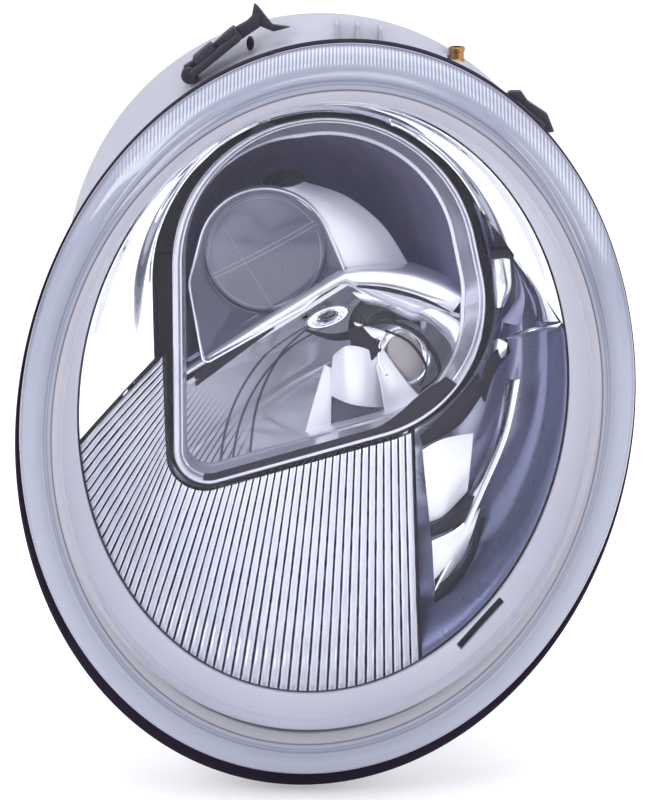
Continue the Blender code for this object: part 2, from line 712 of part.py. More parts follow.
def make_motor_rod():
    x, z = MOTOR_ROD
    profile = [(0, 1.8), (1.2, 3.1), (3, 3.1), (4.2, 2.3), (60, 2.3)]
    return turned("motor_rod", (x, 59 * MM, z), (0, 1, 0), profile, "white_plastic", 16)


def make_rear_cap():
    x, z = REAR_CAP
    profile = [(24, 47), (18, 56), (13, 61), (1, 61), (1, 63.5), (14, 63.5), (21, 58), (26.5, 48)]
    cap = turned("rear_cap", (x, REAR_WALL, z), (0, 1, 0), profile, "black_plastic", 48)
    grip = block("grip", (x, 141 * MM, z), (76, 12, 11), "black_plastic", 1.5)
    combine(cap, grip, "UNION")
    seal = tube("rear_cap_seal", (x, 114 * MM, z), (0, 1, 0), 3.4, 60.6, 58.4, "black_rubber", 48)
    return cap, seal


def make_signal_lamp():
    x, z = SIGNAL
    holder = turned("signal_holder", (x, 74 * MM, z), (0, 1, 0),
                    [(0, 12), (8.5, 12), (8.5, 19), (12, 19), (12, 11), (26, 11)], "grey_plastic", 24)
    grip = block("grip", (x, 96 * MM, z), (32, 10, 5), "grey_plastic", 0.8)
    combine(holder, grip, "UNION")
    bulb = turned("signal_bulb", (x, 44 * MM, z), (0, 1, 0), [(0, 3), (2, 7.5), (7, 10), (14, 10), (20, 7.5), (29.6, 7.5)],
                  "amber_glass", 20)
    return holder, bulb


def main():
    clear_scene()
    make_lens()
    make_gasket()
    make_inner_bezel()
    make_housing()
    for index, place in enumerate((84, 124, 47, 200, 340, 262), start=1):
        make_lens_clip(f"lens_clip_{index}", place)
    make_brackets()
    ledge = ((62, 85), (92, 33))
    left = ((-66, 21), (-97.2, -13.7))
    right = ((36.4, -17), (42.5, -112.3))
    panel("chrome_bezel", (ledge[0], left[0]), (ledge[1], left[1]),
          [(0, 25), (0.03, 15), (0.35, 17.5), (0.7, 17.5), (1, 15.6)], "bright_chrome", 26, 1.2, 0.8 * MM)
    panel("signal_lens", ((-66.4, 17), (35, -17.4)), ((-97, -17), (40.4, -112.8)),
          [(0, 22), (0.25, 24), (0.5, 24), (0.75, 21.5), (1, 16)], "clear_plastic", 24, 2.2)
    reflector = panel("signal_reflector", ((-66.4, 17), (34.4, -17.4)), ((-97, -19), (39, -113)),
                      [(0, 30), (0.15, 40), (0.4, 49), (0.65, 47), (0.85, 36), (1, 26)], "bright_chrome", 20, 2, 0.5 * MM)
    drill(reflector, (SIGNAL[0], 20 * MM, SIGNAL[1]), (0, 1, 0), 50, 12.5, 20)
    panel("side_reflector", ((38.5, -16), (62.5, 81)), ((45.5, -111.3), (92.6, 29)),
          [(0, 28), (0.12, 34), (0.4, 38), (0.75, 30), (1, 17)], "bright_chrome", 20, 1.6, 1.3 * MM)

    pod = make_pod()
    frame = make_frame()
    make_motor()
    make_socket("main_socket", (54 * MM, 121.6 * MM, -34 * MM), (26, 18, 16), radians(38))
    turned("breather_cap", (74.5 * MM, 112.4 * MM, 38 * MM), (0, 1, 0), [(0, 4), (3, 4), (3, 6.5), (8, 6.5), (9, 5.5)],
           "black_plastic", 16)

    swivel = carry("swivel_axis", PIVOT, frame)
    tilt = carry("tilt_axis", PIVOT, pod, swivel)
    for name, at, hinge_z, free_z in (
        ("low_beam_clip", LOW_BEAM, -4 * MM, 34 * MM),
        ("high_beam_clip", HIGH_BEAM, 85 * MM, 47 * MM),
    ):
        carry(name + "_axis", (at[0], 101.6 * MM, hinge_z), [make_clip(name, at, hinge_z, free_z)], tilt)
    carry("motor_rod_axis", (MOTOR_ROD[0], 55 * MM, MOTOR_ROD[1]), [make_motor_rod()])
    carry("height_axis", (HEIGHT_SCREW[0], 100 * MM, HEIGHT_SCREW[1]), [make_adjuster("height_adjuster", HEIGHT_SCREW, 50)])
    carry("side_axis", (SIDE_SCREW[0], 100 * MM, SIDE_SCREW[1]), [make_adjuster("side_adjuster", SIDE_SCREW, 60)])
    carry("rear_cap_axis", (REAR_CAP[0], REAR_WALL, REAR_CAP[1]), make_rear_cap())
    carry("signal_axis", (SIGNAL[0], 82 * MM, SIGNAL[1]), make_signal_lamp())


main()
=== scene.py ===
"""Car headlight assembly: the looks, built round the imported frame. Metres, +Z up, the lamp faces -Y."""

from math import cos, pi, radians, sin, sqrt

import bpy
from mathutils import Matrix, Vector


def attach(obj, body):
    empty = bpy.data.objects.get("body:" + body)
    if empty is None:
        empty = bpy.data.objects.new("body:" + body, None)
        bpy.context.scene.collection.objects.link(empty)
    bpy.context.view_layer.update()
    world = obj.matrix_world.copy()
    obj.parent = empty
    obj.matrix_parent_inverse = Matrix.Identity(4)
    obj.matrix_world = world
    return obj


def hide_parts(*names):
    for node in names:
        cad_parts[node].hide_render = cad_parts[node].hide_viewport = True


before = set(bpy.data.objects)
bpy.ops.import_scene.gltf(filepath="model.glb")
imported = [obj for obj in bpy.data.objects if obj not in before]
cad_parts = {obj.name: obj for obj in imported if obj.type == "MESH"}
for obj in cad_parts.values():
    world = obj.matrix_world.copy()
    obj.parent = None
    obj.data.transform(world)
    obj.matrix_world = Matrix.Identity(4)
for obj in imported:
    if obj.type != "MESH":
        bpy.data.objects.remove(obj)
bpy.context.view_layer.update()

MM = 0.001

# Oval edges of the lens and of the bright parts inside the bezel:
# centre, half width, half height, lean of the top to +X.
LENS_OVAL = ((0, 0), 119.4, 147.4, radians(10.2))
RIM_OVAL = ((-1.4, 1.6), 96.5, 120.3, radians(8.1))
# The pod's outline is a band drawn tight round three circles (x, z, radius), and so is the opening round it.
POD_CIRCLES = ((0, 54.6, 59.3), (-47.3, -20, 12), (8, 40, 54.5))
OPENING_CIRCLES = ((-1.0, 52.6, 65), (-48.6, -20.8, 15.5), (8.6, 40.4, 58.6))
# Centres of the lamps, the rear cap and the disc (x, z).
HIGH_BEAM, LOW_BEAM, PARKING = (-16, 66), (24, 15), (-4, 27)
SIGNAL, REAR_CAP = (-30, -78), (0, 36)
DISC = (-24.4, 57.2)
LOOP_POINTS = 1440
FLOOR = -0.156


# ---- hands: selecting, shaping and finishing ----


def let_go():
    if bpy.context.object and bpy.context.object.mode != "OBJECT":
        bpy.ops.object.mode_set(mode="OBJECT")
    bpy.ops.object.select_all(action="DESELECT")


def take(piece):
    let_go()
    piece.select_set(True)
    bpy.context.view_layer.objects.active = piece


def settle(piece):
    """Puts a piece's turn and place into its mesh."""
    take(piece)
    bpy.ops.object.transform_apply(location=True, rotation=True, scale=True)


def clean(piece, merge=1e-6):
    take(piece)
    bpy.ops.object.mode_set(mode="EDIT")
    bpy.ops.mesh.select_all(action="SELECT")
    bpy.ops.mesh.remove_doubles(threshold=merge)
    bpy.ops.mesh.normals_make_consistent(inside=False)
    bpy.ops.object.mode_set(mode="OBJECT")


def smooth(piece, angle=35):
    take(piece)
    bpy.ops.object.shade_smooth_by_angle(angle=radians(angle))


def press(piece, kind, **values):
    """Adds a modifier with these values and applies it."""
    take(piece)
    modifier = piece.modifiers.new(kind.lower(), kind)
    for key, value in values.items():
        setattr(modifier, key, value)
    bpy.ops.object.modifier_apply(modifier=modifier.name)


def thicken(piece, wall):
    """Gives a sheet a wall, away from the front."""
    if sum(p.normal.y * p.area for p in piece.data.polygons) > 0:
        take(piece)
        bpy.ops.object.mode_set(mode="EDIT")
        bpy.ops.mesh.select_all(action="SELECT")
        bpy.ops.mesh.flip_normals()
        bpy.ops.object.mode_set(mode="OBJECT")
    press(piece, "SOLIDIFY", thickness=wall * MM, offset=-1)


def fit(piece, name, finish, body, slot, *nodes, angle=35):
    """Names a finished piece, gives it its finish and body, and hides the nodes it stands for."""
    piece.name = piece.data.name = name
    piece.data.materials.clear()
    piece.data.materials.append(finish)
    smooth(piece, angle)
    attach(piece, body)
    if nodes:
        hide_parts(*nodes)
    return piece


def twin(piece):
    """A copy with its own mesh."""
    copy = piece.copy()
    copy.data = piece.data.copy()
    bpy.context.collection.objects.link(copy)
    return copy


def join(first, *others):
    let_go()
    for piece in (first, *others):
        piece.select_set(True)
    bpy.context.view_layer.objects.active = first
    bpy.ops.object.join()
    return first


# ---- shapes ----


def turned(at, profile, count=96, axis="Y", closed=True, stretch=(1, 1), lean=0.0):
    """A ring is extruded and resized along a profile of (distance along the axis, radius), in millimetres."""
    let_go()
    lay = {"Y": (pi / 2, 0, 0), "Z": (0, 0, 0)}[axis]
    way = {"Y": Vector((0, 1, 0)), "Z": Vector((0, 0, 1))}[axis]
    bpy.ops.mesh.primitive_circle_add(vertices=count, radius=profile[0][1] * MM, rotation=lay)
    piece = bpy.context.object
    bpy.ops.object.mode_set(mode="EDIT")
    bpy.ops.mesh.select_all(action="SELECT")
    bpy.ops.transform.translate(value=way * profile[0][0] * MM)
    for (before, wide), (along, radius) in zip(profile, profile[1:]):
        bpy.ops.mesh.extrude_region_move(TRANSFORM_OT_translate={"value": way * (along - before) * MM})
        size = radius / wide
        across = tuple(1 if w else size for w in way)
        bpy.ops.transform.resize(value=across, center_override=(0, 0, 0))
    if closed:
        bpy.ops.mesh.edge_face_add()
        bpy.ops.mesh.select_all(action="DESELECT")
        bpy.ops.mesh.select_non_manifold()
        bpy.ops.mesh.edge_face_add()
    bpy.ops.object.mode_set(mode="OBJECT")
    settle(piece)
    piece.scale = (stretch[0], 1, stretch[1])
    settle(piece)
    piece.rotation_euler = (0, lean, 0)
    piece.location = Vector(at) * MM
    settle(piece)
    clean(piece)
    return piece


def oval_band(oval, profile, count=256, joined=True, dome=None):
    """An oval ring is extruded and resized from one (grow, depth) to the next, then leant over."""
    (cx, cz), wide, high, lean = oval
    let_go()
    bpy.ops.mesh.primitive_circle_add(vertices=count, radius=1, rotation=(pi / 2, 0, 0))
    piece = bpy.context.object
    bpy.ops.object.mode_set(mode="EDIT")
    bpy.ops.mesh.select_all(action="SELECT")
    grow, depth = profile[0]
    bpy.ops.transform.resize(value=((wide + grow) * MM, 1, (high + grow) * MM), center_override=(0, 0, 0))
    bpy.ops.transform.translate(value=(0, depth * MM, 0))
    steps = list(profile[1:]) + ([profile[0]] if joined else [])
    for next_grow, next_depth in steps:
        bpy.ops.mesh.extrude_region_move(TRANSFORM_OT_translate={"value": (0, (next_depth - depth) * MM, 0)})
        size = ((wide + next_grow) / (wide + grow), 1, (high + next_grow) / (high + grow))
        bpy.ops.transform.resize(value=size, center_override=(0, 0, 0))
        grow, depth = next_grow, next_depth
    if dome:
        rise, rings = dome
        share = 1.0
        for i in range(1, rings + 1):
            next_share = max(1 - i / rings, 0.004)
            drop = rise * (share * share - next_share * next_share)
            bpy.ops.mesh.extrude_region_move(TRANSFORM_OT_translate={"value": (0, -drop * MM, 0)})
            k = next_share / share
            bpy.ops.transform.resize(value=(k, 1, k), center_override=(0, 0, 0))
            share = next_share
        bpy.ops.mesh.merge(type="CENTER")
    bpy.ops.object.mode_set(mode="OBJECT")
    settle(piece)
    piece.rotation_euler = (0, lean, 0)
    piece.location = (cx * MM, 0, cz * MM)
    settle(piece)
    clean(piece)
    return piece


def skin(columns, rows, place, wrap=False):
    """A grid laid over place(u, v), which gives millimetres. wrap joins its two sides."""
    let_go()
    bpy.ops.mesh.primitive_grid_add(x_subdivisions=columns, y_subdivisions=rows, size=1)
    piece = bpy.context.object
    across = columns + 1
    for i, point in enumerate(piece.data.vertices):
        u, v = (i % across) / columns, (i // across) / rows
        point.co = Vector(place(0.0 if wrap and i % across == columns else u, v)) * MM
    clean(piece)
    return piece


def flow(points, t):
    """A point on the smooth curve through points."""
    last = len(points) - 1
    k = min(int(t * last), last - 1)
    s = t * last - k
    p = [Vector(points[max(0, min(last, k + i))]) for i in (-1, 0, 1, 2)]
    return 0.5 * (2 * p[1] + (p[2] - p[0]) * s + (2 * p[0] - 5 * p[1] + 4 * p[2] - p[3]) * s * s
                  + (3 * p[1] - p[0] - 3 * p[2] + p[3]) * s ** 3)


def blade(edge_a, edge_b, bulge=0.0, wall=1.2, columns=48, rows=12):
    """A curved plate between two edges, bulging to the front."""
    def place(u, v):
        spot = flow(edge_a, u).lerp(flow(edge_b, u), v)
        spot.y -= bulge * 4 * v * (1 - v)
        return spot
    piece = skin(columns, rows, place)
    thicken(piece, wall)
    press(piece, "BEVEL", width=0.25 * MM, segments=2, limit_method="ANGLE")
    return piece


def box(centre, size, bevel=0.8, turn=0.0):
    """A cube is resized and its edges rounded, then turned about Y and placed."""
    let_go()
    bpy.ops.mesh.primitive_cube_add(size=1, location=(0, 0, 0))
    piece = bpy.context.object
    piece.scale = [s * MM for s in size]
    settle(piece)
    bpy.ops.object.mode_set(mode="EDIT")
    bpy.ops.mesh.select_all(action="SELECT")
    bpy.ops.mesh.bevel(offset=bevel * MM, segments=3, affect="EDGES")
    bpy.ops.object.mode_set(mode="OBJECT")
    piece.rotation_euler = (0, turn, 0)
    piece.location = Vector(centre) * MM
    settle(piece)
    return piece


def plate(outline, start, deep, bevel=0.6):
    """A flat outline of (x, z) is filled and extruded backwards, with rounded edges."""
    let_go()
    bpy.ops.mesh.primitive_circle_add(vertices=len(outline), radius=1)
    piece = bpy.context.object
    for point, (x, z) in zip(piece.data.vertices, outline):
        point.co = (x * MM, start * MM, z * MM)
    bpy.ops.object.mode_set(mode="EDIT")
    bpy.ops.mesh.select_all(action="SELECT")
    bpy.ops.mesh.edge_face_add()
    bpy.ops.mesh.extrude_region_move(TRANSFORM_OT_translate={"value": (0, deep * MM, 0)})
    bpy.ops.object.mode_set(mode="OBJECT")
    clean(piece)
    press(piece, "BEVEL", width=bevel * MM, segments=2, limit_method="ANGLE")
    return piece


def cut(piece, tool):
    press(piece, "BOOLEAN", operation="DIFFERENCE", solver="EXACT", object=tool)
    bpy.data.objects.remove(tool)


# ---- outlines in (x, z) ----


def oval_at(oval, angle, grow=0.0):
    (cx, cz), wide, high, lean = oval
    a, b = (wide + grow) * cos(angle), (high + grow) * sin(angle)
    return Vector((cx + a * cos(lean) + b * sin(lean), cz - a * sin(lean) + b * cos(lean)))


def band_round(circles, grow=0.0, count=720):
    points = []
    for i in range(count):
        way = Vector((cos(2 * pi * i / count), sin(2 * pi * i / count)))
        x, z, r = max(circles, key=lambda c: c[0] * way.x + c[1] * way.y + c[2])
        points.append(Vector((x, z)) + way * (r + grow))
    return points


def spaced(points, count):
    lengths = [0.0]
    for a, b in zip(points, points[1:]):
        lengths.append(lengths[-1] + (b - a).length)
    out, k = [], 0
    for i in range(count):
        target = lengths[-1] * i / (count - 1)
        while k < len(points) - 2 and lengths[k + 1] < target:
            k += 1
        span = lengths[k + 1] - lengths[k]
        out.append(points[k].lerp(points[k + 1], min(max((target - lengths[k]) / span if span else 0, 0), 1)))
    return out


def walk(loop, start, end, count):
    """Points evenly along a loop, anticlockwise, from nearest start to nearest end."""
    loop = spaced([*loop, loop[0]], LOOP_POINTS + 1)[:-1]
    a = min(range(LOOP_POINTS), key=lambda i: (loop[i] - Vector(start)).length)
    b = min(range(LOOP_POINTS), key=lambda i: (loop[i] - Vector(end)).length)
    return spaced([loop[(a + i) % LOOP_POINTS] for i in range((b - a) % LOOP_POINTS + 1)], count)


def matched(circles, grows, count):
    """Rings at several offsets whose points keep their place along the outline."""
    base = band_round(circles)
    base.append(base[0])
    lengths = [0.0]
    for a, b in zip(base, base[1:]):
        lengths.append(lengths[-1] + (b - a).length)
    rings = []
    for grow in grows:
        grown = band_round(circles, grow)
        grown.append(grown[0])
        ring, k = [], 0
        for i in range(count):
            target = lengths[-1] * i / count
            while lengths[k + 1] < target:
                k += 1
            ring.append(grown[k].lerp(grown[k + 1], (target - lengths[k]) / (lengths[k + 1] - lengths[k])))
        rings.append(ring)
    return rings


def ring_share(spot):
    """The pod's ring is broad over its top and right, and narrow down its left and along its chin."""
    over = min(max((spot.x + 52) / 40, 0), 1) * min(max((spot.y + 6) / 40, 0), 1)
    return 0.36 + 0.64 * over


def outline_band(circles, profile, count=320, narrow=None):
    """A closed band round an outline, through (grow, depth) pairs.

    narrow gives the share of the inward width that is left at a spot; the outer edge moves the other way.
    """
    rings = matched(circles, [g for g, _ in profile], count)
    base = matched(circles, [0], count)[0]
    rows = len(profile)

    def place(u, v):
        j = round(v * rows) % rows
        i = round(u * count) % count
        spot = rings[j][i]
        if narrow and profile[j][0] > 0.2:
            spot = base[i].lerp(spot, 1.1 - 0.9 * narrow(base[i]))
        if narrow and profile[j][0] < -2:
            spot = base[i].lerp(spot, max(narrow(base[i]), 2.05 / -profile[j][0]))
        return spot.x, profile[j][1], spot.y
    return skin(count, rows, place, wrap=True)


# ---- finishes ----


def effect(name, inputs, outputs, build):
    """A node group, made once and placed in each finish with its own values."""
    group = bpy.data.node_groups.new(name, "ShaderNodeTree")
    for label, kind, value in inputs:
        socket = group.interface.new_socket(label, in_out="INPUT", socket_type=kind)
        if value is not None:
            socket.default_value = value
    for label, kind in outputs:
        group.interface.new_socket(label, in_out="OUTPUT", socket_type=kind)
    start, end = group.nodes.new("NodeGroupInput"), group.nodes.new("NodeGroupOutput")
    build(group, start, end)
    return group


def node(tree, kind, **values):
    """A node with these settings; a name that isn't a setting is an input."""
    made = tree.nodes.new(kind)
    for key, value in values.items():
        if hasattr(made, key):
            setattr(made, key, value)
        else:
            made.inputs[key.replace("_", " ").title()].default_value = value
    return made


def build_clouding(group, start, end):
    """Slow and fast unevenness, as in moulded and plated surfaces."""
    place = node(group, "ShaderNodeTexCoord")
    slow = node(group, "ShaderNodeTexNoise", detail=3.0)
    fast = node(group, "ShaderNodeTexNoise", detail=4.0)
    many = node(group, "ShaderNodeMath", operation="MULTIPLY")
    many.inputs[1].default_value = 9
    mix = node(group, "ShaderNodeMath", operation="MULTIPLY_ADD")
    mix.inputs[1].default_value = 0.35
    for noise in (slow, fast):
        group.links.new(place.outputs["Object"], noise.inputs["Vector"])
    group.links.new(start.outputs["Scale"], slow.inputs["Scale"])
    group.links.new(start.outputs["Scale"], many.inputs[0])
    group.links.new(many.outputs[0], fast.inputs["Scale"])
    group.links.new(fast.outputs["Fac"], mix.inputs[0])
    group.links.new(slow.outputs["Fac"], mix.inputs[2])
    ramp = node(group, "ShaderNodeMapRange", from_min=0.4, from_max=1.0)
    group.links.new(mix.outputs[0], ramp.inputs["Value"])
    group.links.new(ramp.outputs[0], end.inputs["Share"])


def build_grain(group, start, end):
    """Moulded grain: fine pits over a soft ripple."""
    place = node(group, "ShaderNodeTexCoord")
    pits = node(group, "ShaderNodeTexVoronoi")
    soft = node(group, "ShaderNodeTexNoise", detail=5.0)
    add = node(group, "ShaderNodeMath", operation="ADD")
    for texture in (pits, soft):
        group.links.new(place.outputs["Object"], texture.inputs["Vector"])
        group.links.new(start.outputs["Scale"], texture.inputs["Scale"])
    group.links.new(pits.outputs["Distance"], add.inputs[0])
    group.links.new(soft.outputs["Fac"], add.inputs[1])
    group.links.new(add.outputs[0], end.inputs["Height"])


CLOUDING = effect(
    "surface_clouding", [("Scale", "NodeSocketFloat", 20.0)], [("Share", "NodeSocketFloat")],
    build_clouding
)
GRAIN = effect(
    "moulded_grain", [("Scale", "NodeSocketFloat", 900.0)], [("Height", "NodeSocketFloat")], build_grain
)


def placed(tree, group, scale):
    made = tree.nodes.new("ShaderNodeGroup")
    made.node_tree = group
    made.inputs["Scale"].default_value = scale
    return made


def finish(
    name, colour, other, roughness, metallic=0.0, cloud=18.0, grain=0.0, grain_scale=900.0, coat=0.0,
    spec=0.5
):
    """Colour and gloss that vary over the surface, with a moulded or plated grain."""
    material = bpy.data.materials.new(name)
    material.use_nodes = True
    tree = material.node_tree
    shader = tree.nodes["Principled BSDF"]
    shader.inputs["Metallic"].default_value = metallic
    shader.inputs["Coat Weight"].default_value = coat
    shader.inputs["Specular IOR Level"].default_value = spec
    cloudy = placed(tree, CLOUDING, cloud)
    tree.links.new(
        blend(tree, cloudy.outputs["Share"], (*colour, 1), (*other, 1)), shader.inputs["Base Color"]
    )
    gloss = node(tree, "ShaderNodeMapRange", to_min=roughness * 0.8, to_max=roughness * 1.25)
    tree.links.new(cloudy.outputs["Share"], gloss.inputs["Value"])
    tree.links.new(gloss.outputs[0], shader.inputs["Roughness"])
    if grain:
        pits = placed(tree, GRAIN, grain_scale)
        bump = node(tree, "ShaderNodeBump", strength=grain, distance=0.0004)
        tree.links.new(pits.outputs["Height"], bump.inputs["Height"])
        tree.links.new(bump.outputs["Normal"], shader.inputs["Normal"])
    return material


def maths(tree, kind, a, b=None):
    """A Math node on values or sockets."""
    made = node(tree, "ShaderNodeMath", operation=kind)
    for socket, value in zip(made.inputs, (a, b)):
        if value is None:
            continue
        if isinstance(value, (int, float)):
            socket.default_value = value
        else:
            tree.links.new(value, socket)
    return made.outputs[0]


def plus(tree, a, b):
    return maths(tree, "ADD", a, b)


def minus(tree, a, b):
    return maths(tree, "SUBTRACT", a, b)


def times(tree, a, b):
    return maths(tree, "MULTIPLY", a, b)


def blend(tree, share, first, second, kind="MIX"):
    """Two colours mixed by a share. Each may be a value or a socket."""
    mix = node(tree, "ShaderNodeMix", data_type="RGBA", blend_type=kind)
    for slot, value in ((0, share), (6, first), (7, second)):
        if isinstance(value, bpy.types.NodeSocket):
            tree.links.new(value, mix.inputs[slot])
        else:
            mix.inputs[slot].default_value = value
    return mix.outputs[2]


def oval_share(tree, oval, grow=0.0):
    """How far out a point lies in an oval: 1 on its edge."""
    (cx, cz), wide, high, lean = oval
    place = node(tree, "ShaderNodeTexCoord")
    parts = node(tree, "ShaderNodeSeparateXYZ")
    tree.links.new(place.outputs["Object"], parts.inputs[0])
    x = minus(tree, parts.outputs["X"], cx * MM)
    z = minus(tree, parts.outputs["Z"], cz * MM)
    a = minus(tree, times(tree, x, cos(lean)), times(tree, z, sin(lean)))
    b = plus(tree, times(tree, x, sin(lean)), times(tree, z, cos(lean)))
    a = maths(tree, "DIVIDE", a, (wide + grow) * MM)
    b = maths(tree, "DIVIDE", b, (high + grow) * MM)
    share = maths(tree, "SQRT", plus(tree, times(tree, a, a), times(tree, b, b)))
    return share, parts, a, b


def ramp_of(tree, factor, stops):
    """A colour ramp through (place, colour) stops; a plain number is a grey."""
    ramp = node(tree, "ShaderNodeValToRGB")
    band = ramp.color_ramp.elements
    while len(band) < len(stops):
        band.new(0.5)
    for element, (spot, colour) in zip(band, stops):
        element.position = spot
        element.color = (*colour, 1) if not isinstance(colour, (int, float)) else (colour, colour, colour, 1)
    tree.links.new(factor, ramp.inputs[0])
    return ramp.outputs[0]


WHITE = (0.93, 0.94, 1.0)

CHROME = finish("bright_plating", (0.93, 0.94, 0.98), (0.86, 0.87, 0.94), 0.06, 1.0, 14)
SATIN_CHROME = finish("satin_plating", (0.92, 0.93, 0.97), (0.84, 0.85, 0.93), 0.24, 1.0, 14)
RING_PLATING = finish("ring_plating", (0.66, 0.66, 0.75), (0.52, 0.52, 0.64), 0.22, 0.7, 14)
# A darker copy of the plating: painted dark reflection, standing in for the dark surroundings the bright
# reflector mirrors.
DARK_REFLECTION_PLATING = finish("plating_painted_with_dark_reflection", (0.40, 0.36, 0.50), (0.15, 0.17, 0.36), 0.34, 0.35, 12)
# A whiter, barely metallic copy of the plating: painted bright reflection on the chamber lobes, the cowl and
# the shield.
BRIGHT_REFLECTION_WHITE = finish("plating_painted_with_bright_reflection", (0.90, 0.91, 0.96), (0.82, 0.84, 0.92), 0.38, 0.25, 16, coat=0.3)
BOWL_CHROME = finish("bowl_plating", (0.92, 0.93, 0.99), (0.80, 0.82, 0.93), 0.12, 0.5, 14)
# Smoked glass on the high beam backing and disc rim; on the plated shield foot the same dark colour is
# painted shade.
SMOKED_GLASS_AND_SHADE = finish("smoked_glass_and_painted_shade", (0.085, 0.08, 0.13), (0.04, 0.045, 0.10), 0.22, 0.3, 20, coat=0.3)
FLUTED = finish("fluted_silvering", (0.97, 0.98, 1.0), (0.84, 0.86, 0.93), 0.16, 0.2, 30)
GREY_PLASTIC = finish("grey_moulding", (0.43, 0.43, 0.48), (0.37, 0.37, 0.43), 0.5, 0, 12, 0.25, 1400)
BEZEL_PLASTIC = finish("bezel_moulding", (0.74, 0.75, 0.83), (0.68, 0.69, 0.79), 0.30, 0, 10, 0.05, 1800)
BLACK_PLASTIC = finish(
    "black_moulding", (0.018, 0.015, 0.028), (0.030, 0.026, 0.042), 0.45, 0, 14, 0.35, 1500
)
RUBBER = finish(
    "black_gasket_rubber", (0.010, 0.005, 0.017), (0.017, 0.010, 0.024), 0.8, 0, 20, 0.3, 2200, spec=0.15
)
STEEL = finish("drawn_steel", (0.58, 0.58, 0.62), (0.46, 0.46, 0.50), 0.28, 1.0, 60, 0.1, 1200)
BRASS = finish("turned_brass", (0.46, 0.25, 0.10), (0.34, 0.18, 0.07), 0.30, 1.0, 50, 0.1, 1600)
WHITE_PLASTIC = finish("white_nylon", (0.80, 0.80, 0.78), (0.72, 0.72, 0.70), 0.42, 0, 20, 0.15, 1300)
# Near black: painted shade on the thin sheets set in gaps, slots and grooves and under edges, and the own
# colour of a few small black parts such as the catch rivet.
PAINTED_SHADE_AND_BLACK = finish(
    "painted_shade_and_black_plastic", (0.012, 0.010, 0.022), (0.022, 0.018, 0.036), 0.6, 0, 20, 0.1, 1200, spec=0.2
)
AMBER = finish("amber_bulb_glass", (0.80, 0.36, 0.05), (0.70, 0.28, 0.03), 0.08, 0, 30, coat=0.6)


def lens_finish():
    """Clear over the lamp, and whitish and partly opaque towards the rounded rim, where painted bands of
    light and shade stand in for the refraction in its curved edge, with fine vertical lines, bumped and
    coloured with painted light and shade, along its top band.
    """
    material = bpy.data.materials.new("clear_outer_lens")
    material.use_nodes = True
    tree = material.node_tree
    shader = tree.nodes["Principled BSDF"]
    share, parts, _, b = oval_share(tree, LENS_OVAL)
    painted_rim_opacity = ramp_of(
        tree, share,
        [
            (0.0, 0.015), (0.852, 0.02), (0.860, 0.50), (0.888, 0.55), (0.8915, 0.92), (0.896, 0.72),
            (0.93, 0.86), (1.0, 0.92)
        ]
    )
    edge = node(tree, "ShaderNodeFresnel")
    edge.inputs["IOR"].default_value = 1.2
    cloudy = placed(tree, CLOUDING, 12)
    alpha = plus(tree, painted_rim_opacity, times(tree, edge.outputs[0], 0.5))
    alpha = times(tree, alpha, plus(tree, times(tree, cloudy.outputs[0], 0.08), 0.94))
    capped = node(tree, "ShaderNodeClamp")
    tree.links.new(alpha, capped.inputs[0])
    tree.links.new(capped.outputs[0], shader.inputs["Alpha"])
    # Painted light and shade of the rim: pale and lavender bands, dark lines where its curves turn, and
    # darker at its outer edge.
    rim = ramp_of(
        tree, share,
        [
            (0.0, WHITE), (0.855, (0.50, 0.50, 0.58)), (0.862, (0.42, 0.41, 0.47)),
            (0.8885, (0.52, 0.51, 0.57)), (0.8900, (0.03, 0.03, 0.06)), (0.8925, (0.03, 0.03, 0.06)),
            (0.895, (0.37, 0.39, 0.47)), (0.905, (0.30, 0.32, 0.40)), (0.9075, (0.12, 0.13, 0.19)),
            (0.910, (0.32, 0.34, 0.42)), (0.916, (0.15, 0.16, 0.24)), (0.920, (0.31, 0.33, 0.41)),
            (0.955, (0.36, 0.385, 0.47)), (0.985, (0.35, 0.375, 0.47)), (1.0, (0.10, 0.10, 0.18))
        ]
    )
    # The fine lines stand only in the band along the top edge.
    line_pitch = 0.0014
    lines = maths(tree, "SINE", times(tree, parts.outputs["X"], 2 * pi / line_pitch))
    high = node(tree, "ShaderNodeMapRange", from_min=0.52, from_max=0.66)
    tree.links.new(b, high.inputs["Value"])
    out = ramp_of(tree, share, [(0.0, 0.0), (0.950, 0.0), (0.958, 1.0), (0.992, 1.0), (1.0, 0.0)])
    band = times(tree, out, high.outputs[0])
    # The lines' pale and dark stripes are painted light and shade on the flutes.
    tint = ramp_of(
        tree, plus(tree, times(tree, lines, 0.5), 0.5),
        [(0.3, (0.28, 0.31, 0.40)), (0.7, (0.60, 0.63, 0.72))]
    )
    lined = blend(tree, times(tree, band, 0.9), rim, tint)
    tree.links.new(lined, shader.inputs["Base Color"])
    bump = node(tree, "ShaderNodeBump", strength=0.35, distance=0.0003)
    tree.links.new(times(tree, lines, band), bump.inputs["Height"])
    tree.links.new(bump.outputs["Normal"], shader.inputs["Normal"])
    shader.inputs["Roughness"].default_value = 0.05
    shader.inputs["Coat Weight"].default_value = 0.4
    return material


